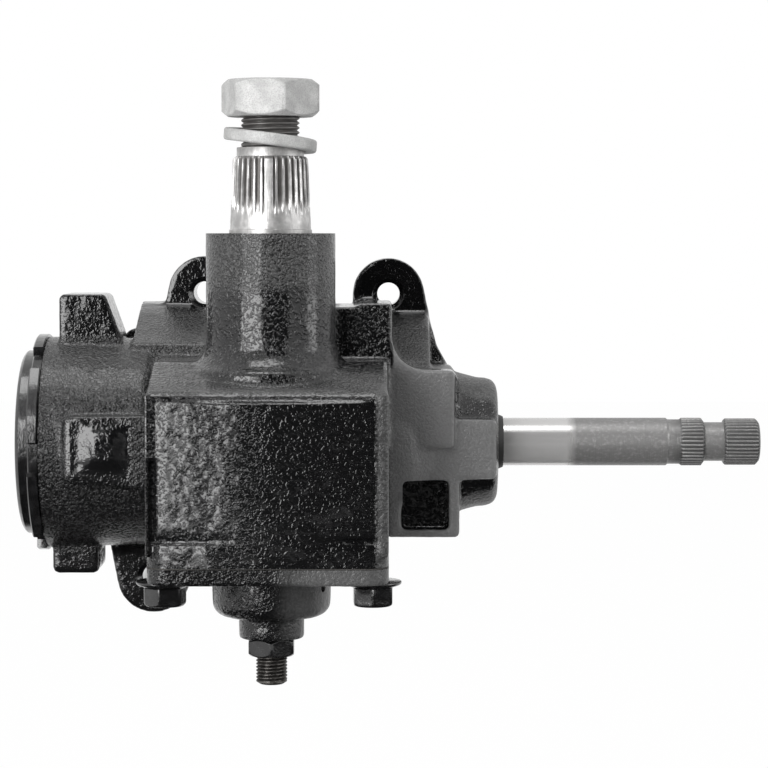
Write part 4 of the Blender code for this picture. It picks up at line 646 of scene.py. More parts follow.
HOUSING_FACES = 190000
TOWER_RADIUS = 0.0247
TOWER_TOP = 0.0833
FLARE_RADIUS = 0.013
ROOF = 0.0235
JOINT_Z = -0.0400
PANEL_BACK = -0.1200
ARM_FRONT = WORM_Y - 0.0290
ARM_FLOOR = WORM_Y - 0.0240
EAR_FRONT = -0.0210
EAR_BACK = -0.0040
PAD_RADIUS = 0.0116
EARS = ((-0.0300, 0.0590), (0.0450, 0.0585), (-0.0515, -0.0575))
EAR_LINES = [Matrix.Translation((across, 0, up)) @ TO_VIEWER for across, up in EARS]

BOLT_CIRCLE = 0.045
BOLT_BORE = 0.0051
BOLT_TURNS = [math.radians(turn) for turn in (210.0, 330.0, 90.0)]
BOLT_LINES = [
    Matrix.Translation((BOLT_CIRCLE * math.cos(turn), SECTOR_Y + BOLT_CIRCLE * math.sin(turn), 0))
    for turn in BOLT_TURNS]
COVER_CORNER = 0.0086
COVER_LUG = 0.0115
CROWN_X = -0.014


def cover_outline(front, side, crown=0.0):
    """Plan of the cover joint: a front that may bulge, straight sides and a lug behind."""
    outline = arc(COVER_CORNER - side, front + COVER_CORNER, COVER_CORNER, 180, 270, 8)
    if crown:
        outline += [(CROWN_X - 0.006, front - crown * 0.94), (CROWN_X, front - crown),
                    (CROWN_X + 0.006, front - crown * 0.92)]
    outline += arc(side - COVER_CORNER, front + COVER_CORNER, COVER_CORNER, 270, 360, 8)
    outline += [(side, SECTOR_Y + 0.006)]
    outline += arc(0, SECTOR_Y + BOLT_CIRCLE, COVER_LUG, 35, 145, 10)
    outline += [(-side, SECTOR_Y + 0.006)]
    return outline


def chamber_form(shape):
    """The sector chamber with its framed front panel, sloping roof and joint flange."""
    shape.prism(cover_outline(-0.1305, 0.0440), -0.0350, ROOF - 0.0015)
    shape.prism(cover_outline(-0.1318, 0.0449, 0.0015), JOINT_Z - 0.002, -0.0312)
    panel = [(-0.0414, PANEL_BACK), (-0.0414, -0.1308), (-0.0095, -0.1333), (0.0140, -0.1328),
             (0.0408, -0.1318), (0.0408, PANEL_BACK)]
    shape.prism(rounded(panel, 0.002), -0.0290, ROOF - 0.0022)
    bulge = [(-0.034, PANEL_BACK), (-0.032, -0.1309), (-0.0095, -0.1332), (0.012, -0.1329),
             (0.028, -0.1312), (0.030, PANEL_BACK)]
    shape.prism(bulge, -0.0385, -0.020)
    for left, right in ((-0.0450, -0.0434), (0.0405, 0.0450)):
        shape.slab((left, -0.1316, -0.036), (right, -0.1180, ROOF + 0.0005), 0.0015, "XY")
    roof = [(-0.1306, 0.0), (-0.1306, ROOF - 0.0005), (-0.1290, ROOF + 0.0015), (-0.1130, 0.0300),
            (-0.0980, 0.0345), (-0.0500, 0.0350), (-0.0500, 0.0)]
    shape.prism(roof, -0.0445, 0.0445, "YZ")


def tower_form(shape):
    """The tower of the sector shaft, flared where it meets the chamber."""
    flare = arc(TOWER_RADIUS + FLARE_RADIUS, 0.0435, FLARE_RADIUS, 180, 245, 8)
    shape.rings([(TOWER_RADIUS, TOWER_TOP + 0.002)] + flare + [(flare[-1][0] + 0.002, 0.024)])


def worm_form(shape):
    """The turned body round the worm, from the nose to the barrel."""
    nose = [(0.0200, 0.0883), (0.0228, 0.0878), (0.0247, 0.0862), (0.0256, 0.0835), (0.0258, 0.0800)]
    neck = [(0.0285, 0.0700), (0.0300, 0.0630), (0.0350, 0.0540), (0.0356, 0.0500), (0.0356, -0.0380)]
    barrel = [(0.0366, -0.0430), (0.0390, -0.0470), (0.0413, -0.0500), (0.0415, -0.0700), (0.0420, -0.0712),
              (0.0420, -0.0920)]
    shape.rings(nose + neck + barrel, 128, WORM_LINE)


def arm_form(shape):
    """The flat-fronted arm with its framed pocket and the bar across the nose."""
    shape.slab((0.0380, ARM_FLOOR, -0.0350), (0.0722, WORM_Y + 0.0250, 0.0288), 0.003)
    face = [(0.0440, -0.0135), (0.0871, -0.0125), (0.0871, 0.0107), (0.0692, 0.0112), (0.0692, 0.0283),
            (0.0440, 0.0283)]
    shape.prism(rounded(face, 0.0022), ARM_FRONT, WORM_Y, "XZ")
    pocket_sides = ((0.0684, 0.0727, -0.0060, 0.0018), (0.0440, 0.0500, -0.0060, 0.0018),
                    (0.0440, 0.0727, -0.0322, 0.0012))
    for left, right, top, corner in pocket_sides:
        shape.slab((left, ARM_FRONT, -0.0352), (right, WORM_Y, top), corner)


def shoulder_form(shape):
    """The thick web between the tower and the upper right ear."""
    outline = [(0.0, 0.0), (0.0, 0.0548), (0.0316, 0.0548), (0.0345, 0.0562), (0.0463, 0.0562),
               (0.0463, 0.0430)]
    outline += arc(0.0590, 0.0430, 0.0127, 180, 270, 8)[1:] + [(0.0705, 0.0300), (0.0705, 0.0)]
    shape.prism(rounded(outline, 0.0012), WORM_Y - 0.0340, WORM_Y + 0.0230, "XZ")


def barrel_form(shape):
    """The barrel's two lugs and the raised pad with its button."""
    upper = [(-0.0849, 0.0300), (-0.0849, 0.0593), (-0.0667, 0.0593), (-0.0612, 0.0440), (-0.0580, 0.0300)]
    lower = [(-0.0880, -0.0300), (-0.0698, -0.0300), (-0.0698, -0.0512), (-0.0880, -0.0512)]
    for outline in (upper, lower):
        shape.prism(rounded(outline, 0.0022), WORM_Y - 0.0140, WORM_Y + 0.0140, "XZ")
    pad = [(-0.0800, -0.0120), (-0.0430, -0.0155), (-0.0430, 0.0136), (-0.0800, 0.0130)]
    shape.prism(rounded(pad, 0.003), WORM_Y - 0.0437, WORM_Y, "XZ")
    for inset, rise in ((0.0, 0.0440), (0.0022, 0.0447), (0.0044, 0.0454)):
        low = (-0.0732 + inset, WORM_Y - rise, -0.0085 + inset)
        shape.slab(low, (-0.0558 - inset, WORM_Y - inset, 0.0095 - inset), 0.0045 - 0.6 * inset)


def ear_form(shape):
    """The three frame ears: rounded webs, rail pads and the gussets that carry them."""
    upper_left = arc(-0.0300, 0.0590, 0.0150, 0, 172, 14)
    upper_left += [(-0.0462, 0.0540)] + arc(-0.0640, 0.0610, 0.0175, -20, -80, 8)
    upper_left += [(-0.0660, 0.0380), (-0.0660, 0.0100), (-0.0150, 0.0100)]
    upper_right = arc(0.0450, 0.0585, 0.0146, 12, 180, 14)
    upper_right += [(0.0304, 0.0100), (0.0706, 0.0100), (0.0706, 0.0270), (0.0649, 0.0371), (0.0624, 0.0461)]
    lower_left = arc(-0.0515, -0.0575, 0.0150, 190, 350, 14)
    lower_left += [(-0.0330, -0.0100), (-0.0700, -0.0100), (-0.0692, -0.0450)]
    for outline in (upper_left, upper_right, lower_left):
        shape.prism(outline, EAR_FRONT, EAR_BACK, "XZ")
    for line in EAR_LINES:
        shape.rings([(PAD_RADIUS, 0.0140), (PAD_RADIUS, -0.0020)], 64, line)
    left_gusset = [(-0.0120, 0.0555), (-0.0200, 0.0545), (-0.0330, 0.0505), (-0.0620, 0.0400),
                   (-0.0660, 0.0300), (-0.0660, 0.0100), (-0.0120, 0.0100)]
    right_gusset = [(-0.0120, 0.0530), (-0.0200, 0.0520), (-0.0300, 0.0470), (-0.0560, 0.0330),
                    (-0.0620, 0.0285), (-0.0620, 0.0100), (-0.0120, 0.0100)]
    low_gusset = [(-0.0120, -0.0100), (-0.0120, -0.0480), (-0.0200, -0.0470), (-0.0400, -0.0340),
                  (-0.0400, -0.0100)]
    shape.prism(left_gusset, -0.0560, -0.0180, "YZ")
    shape.prism(right_gusset, 0.0360, 0.0615, "YZ")
    shape.prism(low_gusset, -0.0660, -0.0370, "YZ")


def housing_planes():
    """Blocks that leave the machined faces at the rail, barrel end, tower and cover, and the arm's pocket."""
    planes = Shape()
    planes.slab((-0.120, 0.0, -0.100), (0.110, 0.010, 0.100))
    planes.slab((-0.110, -0.120, -0.070), (-0.0900, -0.001, 0.080))
    planes.slab((-0.040, -0.130, TOWER_TOP), (0.040, -0.050, 0.100))
    planes.slab((-0.060, -0.145, -0.060), (0.060, -0.030, JOINT_Z))
    planes.slab((0.0504, WORM_Y - 0.040, -0.0310), (0.0681, WORM_Y - 0.0222, -0.0128), 0.0022)
    return planes


def worm_bore():
    """Bore of the seal and the shaft, the cups, the nut's cavity and the plug."""
    stations = [(0.0158, 0.0950), (0.0158, 0.0783), (0.0104, 0.0783), (0.0104, 0.0610), (0.0201, 0.0598)]
    stations += [(0.0201, 0.0493), (0.0305, 0.0493), (0.0305, -0.0717), (0.0369, -0.0717), (0.0369, -0.0950)]
    return Shape().rings(stations, 96, WORM_LINE)


def sector_bore():
    """Bore of the sector shaft and its chamber, with the drilled ears and bolt holes."""
    bore = Shape().rings([(0.0207, 0.0900), (0.0207, 0.0747), (0.0180, 0.0747), (0.0180, 0.0175),
                          (0.0360, 0.0175), (0.0360, -0.0500)])
    for line in BOLT_LINES:
        bore.rings([(BOLT_BORE, -0.0320), (BOLT_BORE, -0.0500)], 24, line)
    for line in EAR_LINES:
        bore.rings([(0.0068, 0.0300), (0.0068, 0.0212), (0.0046, 0.0190), (0.0046, -0.0100)], 48, line)
    return bore


def shoulder_zone(x, z):
    return smooth(x, 0.022, 0.028) * smooth(z, 0.028, 0.034)


def button_zone(x, y):
    return smooth(-x, 0.052, 0.056) * smooth(-y, 0.0878, 0.0888)


def lug_zone(x, z):
    return smooth(-x, 0.058, 0.062) * smooth(np.abs(z), 0.0415, 0.0435)


def tower_zone(y, z):
    """The tower's front half above its foot."""
    return smooth(z, 0.038, 0.060) * smooth(-y, 0.060, 0.070)


def calm_zones(x, y):
    """Smooth satin faces: the arm's front, the chamber's right rim and the nose."""
    flat_arm = smooth(x, 0.0435, 0.0465) * smooth(-y, 0.0722, 0.0732)
    strip = smooth(x, 0.0400, 0.0412) * smooth(-y, 0.118, 0.122)
    return flat_arm, strip, smooth(x, 0.072, 0.074)


def wet_zones(x, y, z, up):
    """Where the enamel lies thick."""
    panel = smooth(-y, 0.1285, 0.1299) * smooth(-x, -0.0405, -0.0395) * smooth(z, -0.050, -0.044)
    foot = smooth(-z, -0.076, -0.056) * smooth(z, 0.022, 0.030) * smooth(-y, 0.078, 0.096)
    foot = foot * smooth(-x, -0.034, -0.018) * 0.9
    web = shoulder_zone(x, z) * smooth(-x, -0.0475, -0.0462)
    pocket = smooth(-y, 0.060, 0.066) * smooth(x, 0.047, 0.050) * (1 - smooth(-y, 0.0722, 0.0732))
    ears = smooth(y, -0.030, -0.022) * smooth(np.abs(z), 0.042, 0.050)
    barrel = smooth(-x, 0.045, 0.052) * (0.55 - 0.15 * smooth(-z, 0.012, 0.018))
    back = smooth(y, -0.040, -0.028) * 0.7
    body = smooth(-x, 0.022, 0.032) * 0.55
    return np.max([panel, foot, web, pocket, ears, barrel, button_zone(x, y), tower_zone(y, z) * 0.56,
                   lug_zone(x, z) * 0.95, back, body], 0)


def pebble_zones(x, y, z, up):
    """Where the sand-cast skin shows through the enamel."""
    flat_arm, strip, nose = calm_zones(x, y)
    low_barrel = smooth(-x, 0.046, 0.050) * smooth(-z, 0.012, 0.016) * 0.9
    tower = smooth(z, 0.052, 0.072) * 0.6
    ears = smooth(y, -0.040, -0.024) * smooth(np.abs(z), 0.036, 0.046) * 0.92
    panel_right = smooth(-y, 0.125, 0.130) * smooth(x, -0.010, 0.004) * 0.82
    calm = np.max([flat_arm, low_barrel, strip, tower, ears, panel_right, nose * 0.7,
                   shoulder_zone(x, z) * 0.5, lug_zone(x, z) * 0.8, button_zone(x, y) * 0.9], 0)
    return (0.30 + 0.70 * wet_zones(x, y, z, up)) * (1 - calm) + 0.03


def sandy_zones(x, y, z, up):
    """Where the dry skin keeps its grain of sand."""
    flat_arm, strip, nose = calm_zones(x, y)
    calm = np.max([flat_arm * 0.72, strip * 0.6, nose * 0.35, smooth(wet_zones(x, y, z, up), 0.55, 0.85)], 0)
    return (0.75 + 0.25 * tower_zone(y, z)) * (1 - calm)


def painted_sheen_zones(x, y, z, up):
    """How light the dry enamel is painted: a painted sheen that lifts its colour toward grey on the arm's
    front, the rim, the nose, the tower's front, the roof where it faces up and the left body.
    """
    flat_arm, strip, nose = calm_zones(x, y)
    # Painted top light: the roof is paler where it faces up.
    roof = smooth(up, 0.3, 0.7) * smooth(-y, 0.050, 0.060) * (1 - 0.7 * smooth(x, 0.014, 0.030))
    body = smooth(-x, 0.018, 0.026) * (1 - smooth(-x, 0.042, 0.050)) * smooth(z, 0.018, 0.026)
    return 0.05 + np.max([flat_arm * 0.85, strip * 0.20, nose * 0.28, tower_zone(y, z) * 0.45, roof * 0.5,
                          body * 0.25], 0)


class GEARBOX_OT_housing(bpy.types.Operator):
    """Cast the gear housing and machine its bores and faces"""

    bl_idname = "gearbox.housing"
    bl_label = "Gear housing"

    def execute(self, context):
        shape = Shape()
        for form in (chamber_form, tower_form, worm_form, arm_form, shoulder_form, barrel_form, ear_form):
            form(shape)
        cuts = (housing_planes(), worm_bore(), sector_bore())
        housing = cast("housing_casting", shape, cuts, HOUSING_FACES)
        mark(housing, "wet", wet_zones)
        mark(housing, "pebbled", pebble_zones)
        mark(housing, "sandy", sandy_zones)
        # The pale mark is painted sheen.
        mark(housing, "pale", painted_sheen_zones)
        dress(housing, "enamel", "gearcase", "cast_black", "gear_housing")
        return {"FINISHED"}


# Side cover and what it carries

COVER_FACES = 90000
COVER_GRID = 0.75
COVER_FOOT = -0.0467
SPIGOT_RADIUS = 0.0213
BOSS_RADIUS = 0.0227
BOSS_ROUND = 0.0055
BOSS_ROUND_TOP = -0.0575
VENT_TURN = -27.6
VENT_Z = -0.0513
FLANGE_SEAT = -0.0468
FLANGE_THICK = 0.0022
BOLT_STEPS = 72
EDGE_ANGLE = math.radians(35)
LASH_RADIUS = 0.0060
SLOT_HALF = 0.0008


class GEARBOX_OT_side_cover(bpy.types.Operator):
    """Cast the side cover with its boss, and paint the gasket's edge"""

    bl_idname = "gearbox.side_cover"
    bl_label = "Side cover"

    def execute(self, context):
        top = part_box("side_cover_gasket")[0].z - 0.0001
        shape = Shape().prism(cover_outline(-0.1322, 0.0450), COVER_FOOT, top + 0.002)
        step = [(0.0240, COVER_FOOT + 0.003), (0.0240, COVER_FOOT), (0.0229, COVER_FOOT + 0.002)]
        edge = arc(BOSS_RADIUS - BOSS_ROUND, BOSS_ROUND_TOP, BOSS_ROUND, 0, -90, 6)[1:]
        shape.rings(step + [(BOSS_RADIUS, -0.0560)] + edge + [(0.0130, -0.0630)])
        shape.rings([(0.0126, -0.0600), (0.0125, -0.0712), (0.0119, -0.0718)])
        shape.rings([(SPIGOT_RADIUS, -0.0280), (SPIGOT_RADIUS, COVER_FOOT + 0.001)])
        bores = Shape().rings([(0.0179, -0.0270), (0.0179, -0.0575), (0.0063, -0.0576), (0.0063, -0.0750)])
        for line in BOLT_LINES:
            bores.rings([(BOLT_BORE, -0.0300), (BOLT_BORE, -0.0550)], 24, line)
        turn = Matrix.Rotation(math.radians(VENT_TURN), 4, "Z")
        vent = Matrix.Translation((0, SECTOR_Y, VENT_Z)) @ turn @ ALONG_X
        bores.rings([(0.0016, 0.0260), (0.0016, 0.0200)], 24, vent)
        joint_plane = Shape().slab((-0.060, -0.145, top), (0.060, -0.030, -0.0200))
        cover = cast("cover_casting", shape, (joint_plane,), COVER_FACES, COVER_GRID)
        combine(cover, Shape().rings([(SPIGOT_RADIUS, -0.0280), (SPIGOT_RADIUS, top - 0.0002)]), "UNION")
        combine(cover, bores)
        mark(cover, "wet", lambda x, y, z, up: smooth(-x, -0.012, 0.006) * smooth(-y, 0.05, 0.07))
        mark(cover, "pebbled", lambda x, y, z, up: 0.15 + 0.75 * smooth(-x, -0.010, 0.010))
        mark(cover, "sandy", lambda x, y, z, up: 0.15)
        # Painted sheen: the cover's enamel is paler towards its right.
        mark(cover, "pale", lambda x, y, z, up: 0.05 + 0.35 * smooth(x, 0.0, 0.02))
        dress(cover, "enamel", "gearcase", "cast_black", "side_cover")
        gasket = frame["nodes"]["side_cover_gasket"]
        gasket.data.materials[0] = material("paper")
        return {"FINISHED"}


class GEARBOX_OT_cover_bolts(bpy.types.Operator):
    """Turn the three flanged cover bolts"""

    bl_idname = "gearbox.cover_bolts"
    bl_label = "Cover bolts"

    def execute(self, context):
        seat, flange = FLANGE_SEAT, FLANGE_SEAT - FLANGE_THICK
        for number, line in enumerate(BOLT_LINES, 1):
            low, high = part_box(f"cover_bolt_{number}")
            foot, top, turn = low.z, high.z, 17.0 * number
            outer = hexagon(0.0143, turn, BOLT_STEPS)
            dish = np.minimum(hexagon(0.0131, turn, BOLT_STEPS), 0.0071)
            shank = [(0.0040, top), (0.0047, top - 0.0008), (0.0047, seat)]
            rim = [(0.0107, seat), (0.0109, seat - 0.0003), (0.0109, seat - 0.0009), (0.0104, seat - 0.0014),
                   (0.0080, flange)]
            head = [(outer, flange - 0.0003), (outer, foot + 0.0014)]
            head += [(np.minimum(outer, 0.0078), foot + 0.0006), (np.minimum(outer, 0.0070), foot)]
            head += [(dish * 0.80, foot), (dish * 0.72, foot + 0.0008)]
            bolt = Shape().rings(shank + rim + head, BOLT_STEPS, line).piece(f"flanged_bolt_{number}")
            modify(bolt, "BEVEL", width=0.00025, segments=2, limit_method="ANGLE", angle_limit=EDGE_ANGLE)
            settle(bolt)
            dress(bolt, "bolts", "gearcase", "bolt_black", f"cover_bolt_{number}", angle=45)
        return {"FINISHED"}


class GEARBOX_OT_lash_adjuster(bpy.types.Operator):
    """Cut the lash adjuster's thread and chamfer its lock nut"""

    bl_idname = "gearbox.lash_adjuster"
    bl_label = "Lash adjuster"

    def execute(self, context):
        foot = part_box("lash_adjuster")[0].z
        nut_foot, nut_top = [corner.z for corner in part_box("lash_lock_nut")]
        stations = thread(LASH_RADIUS, sizes().adjuster_pitch, foot + 0.0010, nut_foot + 0.0015, BOLT_STEPS)
        stations += [(0.0048, foot + 0.0002), (0.0044, foot)]
        shape = cad_part("lash_adjuster", "Z", nut_foot + 0.001, False).rings(stations, BOLT_STEPS)
        screw = shape.piece("adjuster_screw")
        slot_low = (-0.0068, SECTOR_Y - SLOT_HALF, foot - 0.001)
        combine(screw, Shape().slab(slot_low, (0.0068, SECTOR_Y + SLOT_HALF, foot + 0.0020), 0.0001))

        def grooves(x, y, z, up):
            depth = LASH_RADIUS - np.hypot(x, y - SECTOR_Y)
            return smooth(depth, 0.0001, 0.0006) * smooth(-z, -nut_foot - 0.001, -nut_foot)

        mark(screw, "groove", grooves)
        dress(screw, "oiled", "gearcase", "dark_steel", "lash_adjuster", angle=40)
        sides = chamfered(hexagon(0.0173, -90.0), 0.0084, nut_top, nut_foot, 0.0013)
        bore = [(0.0063, nut_foot), (0.0063, nut_top)]
        nut = Shape().rings(sides + bore, 96, loop=True).piece("lock_nut")
        dress(nut, "bolts", "gearcase", "cast_black", "lash_lock_nut", angle=35)
        return {"FINISHED"}


# Sector shaft, its nut and its washer

STUD_RADIUS = 0.0111
JOURNAL_RADIUS = 0.0158
TAPER_TOP = 0.1122
TAPER_RUNOUT = 0.0900
TAPER_FOOT = 0.0846
TAPER_TOP_RADIUS = 0.0143
TAPER_FOOT_RADIUS = 0.0154
SPLINES = 32
SPLINE_ROWS = 24
SHAFT_STEPS = 512
NUT_STEPS = 144

WASHER_BORE = 0.0132
WASHER_WIDTH = 0.0046
WASHER_THICK = 0.0047
WASHER_RISE = 0.0052
WASHER_SWEEP = math.radians(345.0)
WASHER_STEPS = 120
WASHER_TOP = 0.1138
WASHER_TILT = 4.0


def spline_rows():
    """Stations of the splined taper, with one wide spline left whole at the front."""
    turns = (ring_angles(SHAFT_STEPS) + math.pi / 2) / math.tau * SPLINES
    within = np.abs(np.mod(turns, 1.0) - 0.5) * 2
    groove = np.clip((1 - within) * 2.2 - 0.45, 0, 1)
    from_front = np.mod(turns + SPLINES / 2, SPLINES) - SPLINES / 2
    groove = np.where(np.abs(from_front) < 0.62, 0.0, groove)
    stations = []
    for row in range(SPLINE_ROWS + 1):
        height = TAPER_TOP - (TAPER_TOP - TAPER_RUNOUT) * row / SPLINE_ROWS
        part = (TAPER_TOP - height) / (TAPER_TOP - TAPER_RUNOUT)
        depth = sizes().spline_depth * min(1.0, (1 - part) * 3.0)
        width = np.clip(groove * 1.3 - part * 0.3, 0, 1)
        spread = (TAPER_FOOT_RADIUS - TAPER_TOP_RADIUS) * (TAPER_TOP - height) / (TAPER_TOP - TAPER_FOOT)
        radius = TAPER_TOP_RADIUS + spread
        ease = 0.0007 if row == 0 else 0.0
        stations.append((np.minimum(radius - ease, radius - depth * width), height))
    return stations


def shaft_grooves(x, y, z, up):
    """The grooves of the sector shaft's splines and thread, drawn dark; the whole thread above the taper is
    darkened too.
    """
    reach = np.hypot(x, y - SECTOR_Y)
    spread = (TAPER_FOOT_RADIUS - TAPER_TOP_RADIUS) * (TAPER_TOP - z) / (TAPER_TOP - TAPER_FOOT)
    spline = smooth(TAPER_TOP_RADIUS + spread - reach, 0.0003, 0.0010)
    spline = spline * smooth(-z, -TAPER_TOP - 0.0002, -TAPER_TOP + 0.0002)
    stud = (0.85 + 0.15 * smooth(STUD_RADIUS - reach, 0.0001, 0.0006)) * smooth(z, 0.1155, 0.1160)
    return np.maximum(spline, stud) * smooth(z, 0.0860, 0.0890)


class GEARBOX_OT_sector_shaft(bpy.types.Operator):
    """Cut the sector shaft's thread and splines"""

    bl_idname = "gearbox.sector_shaft"
    bl_label = "Sector shaft"

    def execute(self, context):
        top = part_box("sector_shaft")[1].z
        stations = [(0.0086, top), (0.0100, top - 0.0001)]
        stations += thread(STUD_RADIUS, sizes().stud_pitch, 0.1163, top - 0.0010, SHAFT_STEPS)
        stations += [(0.0104, 0.1161), (0.0128, 0.1158), (0.0128, TAPER_TOP + 0.0003)]
        stations += [(0.0134, TAPER_TOP + 0.0001)]
        stations += spline_rows() + [(0.0153, 0.0880), (TAPER_FOOT_RADIUS, TAPER_FOOT + 0.0002)]
        stations += [(JOURNAL_RADIUS, TAPER_FOOT), (JOURNAL_RADIUS, 0.0780)]
        shaft = cad_part("sector_shaft", "Z", 0.0785).rings(stations, SHAFT_STEPS).piece("splined_shaft")
        mark(shaft, "groove", shaft_grooves)
        dress(shaft, "splined", "sector", "bright_steel", "sector_shaft", angle=30)
        return {"FINISHED"}


class GEARBOX_OT_pitman_nut(bpy.types.Operator):
    """Chamfer the nut of the sector shaft"""

    bl_idname = "gearbox.pitman_nut"
    bl_label = "Pitman nut"

    def execute(self, context):
        foot, top = [corner.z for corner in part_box("pitman_nut")]
        sides = chamfered(hexagon(0.0333, -11.0, NUT_STEPS), 0.0161, top, foot, 0.0021)
        bore = [(0.0118, foot), (0.0114, foot + 0.0006), (0.0114, top - 0.0006), (0.0118, top)]
        nut = Shape().rings(sides + bore, NUT_STEPS, loop=True).piece("hexagon_nut")
        dress(nut, "zinc", "sector", "zinc", "pitman_nut", angle=35)
        return {"FINISHED"}


class GEARBOX_OT_lock_washer(bpy.types.Operator):
    """Wind the split spring washer"""

    bl_idname = "gearbox.lock_washer"
    bl_label = "Spring washer"

    def execute(self, context):
        outer, middle, half = WASHER_BORE + WASHER_WIDTH, WASHER_BORE + WASHER_WIDTH / 2, WASHER_THICK / 2
        corners = [(WASHER_BORE, 0.0), (outer, 0.0), (outer, WASHER_THICK), (WASHER_BORE, WASHER_THICK)]
        section = rounded(corners, 0.0011, 4)
        points = []
        for step in range(WASHER_STEPS + 1):
            part = step / WASHER_STEPS
            angle = WASHER_SWEEP * part
            from_end = min(part, 1 - part) * WASHER_SWEEP * WASHER_BORE / 0.0009
            ease = 1 - 0.16 * (1 - min(1.0, from_end)) ** 2
            for radius, height in section:
                reach = middle + (radius - middle) * ease
                level = (height - half) * ease + half - WASHER_RISE * part
                points.append((reach * math.cos(angle), reach * math.sin(angle), level))
        count = len(section)
        last = WASHER_STEPS * count
        faces = [tuple(range(count)), tuple(reversed(range(last, last + count)))]
        for here in range(0, last, count):
            for corner in range(count):
                after = (corner + 1) % count
                faces.append((here + corner, here + after, here + count + after, here + count + corner))
        tilt = Matrix.Rotation(math.radians(WASHER_TILT), 4, "Y")
        start = Matrix.Rotation(math.pi / 2 + (math.tau - WASHER_SWEEP) / 2, 4, "Z")
        place = Matrix.Translation((0, SECTOR_Y, WASHER_TOP + WASHER_RISE)) @ tilt @ start
        washer = Shape().add(points, faces, place).piece("spring_washer")
        dress(washer, "zinc", "sector", "zinc", "lock_washer", angle=40)
        return {"FINISHED"}


# Worm shaft, worm end and seals

# The plain run-outs beside the worm's thread are thinned so that the faceted nut clears them.
# What lies nearer to the axis than RUNOUT_LEAST stays.
RUNOUT_START = 0.0400
RUNOUT_END = 0.0487
RUNOUT_RADIUS = 0.00978
RUNOUT_LEAST = 0.0099
INPUT_RADIUS = 0.009525
TIP_RADIUS = 0.0093
TIP_START = 0.175
GROOVE_FLOOR = 0.0083
SERRATIONS = 36
INPUT_STEPS = 432
RING_RADIUS = 0.0431
RING_BORE = 0.0369
RING_STEPS = 360
NOTCHES = 6
NOTCH_DEPTH = 0.0034
NOTCH_HALF_DEG = 9.0
DRILLS = 4
DRILL_CIRCLE = 0.020


def serrated(radius, depth):
    """Reach of a bar with V serrations all round."""
    within = np.abs(np.mod(ring_angles(INPUT_STEPS) / math.tau * SERRATIONS, 1.0) - 0.5) * 2
    return radius - depth * np.clip(within * 1.5 - 0.3, 0, 1)


def thinned(point):
    """A point of the worm, moved in to RUNOUT_RADIUS where it lies on a plain run-out."""
    x, y, z = point
    reach = math.hypot(y - WORM_Y, z)
    if reach < RUNOUT_LEAST or not RUNOUT_START < abs(x) < RUNOUT_END:
        return point
    part = RUNOUT_RADIUS / reach
    return x, WORM_Y + (y - WORM_Y) * part, z * part


class GEARBOX_OT_input_shaft(bpy.types.Operator):
    """Turn and serrate the input end of the worm shaft"""

    bl_idname = "gearbox.input_shaft"
    bl_label = "Input shaft"

    def execute(self, context):
        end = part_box("worm_shaft")[1].x
        depth = sizes().serration_depth
        collar, tip = serrated(INPUT_RADIUS, depth), serrated(TIP_RADIUS, depth)
        stations = [(np.minimum(tip, 0.0078), end), (np.minimum(tip, 0.0086), end - 0.0007)]
        stations += [(tip, end - 0.0014), (tip, 0.1796), (np.minimum(tip, 0.0086), 0.1789)]
        stations += [(0.00775, 0.1785), (0.00775, 0.1712), (np.minimum(collar, 0.0085), 0.1706)]
        stations += [(collar, 0.1699), (collar, 0.1621), (np.minimum(collar, 0.0090), 0.1614)]
        stations += [(0.0089, 0.1610), (0.0089, 0.1566), (0.0092, 0.1562)]
        stations += [(INPUT_RADIUS, 0.1558 - 0.004 * row) for row in range(19)] + [(INPUT_RADIUS, 0.0790)]
        shape = cad_part("worm_shaft", "X", 0.0795)
        shape.points = [thinned(point) for point in shape.points]
        shaft = shape.rings(stations, INPUT_STEPS, WORM_LINE).piece("input_shaft")

        def grooves(x, y, z, up):
            reach = np.hypot(y - WORM_Y, z)
            outer = np.where(x > TIP_START, TIP_RADIUS, INPUT_RADIUS)
            return smooth(outer - reach, 0.0001, depth) * smooth(x, 0.1600, 0.1618) * (reach > GROOVE_FLOOR)

        mark(shaft, "groove", grooves)
        mark(shaft, "turned", lambda x, y, z, up: smooth(x, 0.1192, 0.1197))
        dress(shaft, "turned", "worm", "bright_steel", "worm_shaft", angle=30)
        return {"FINISHED"}


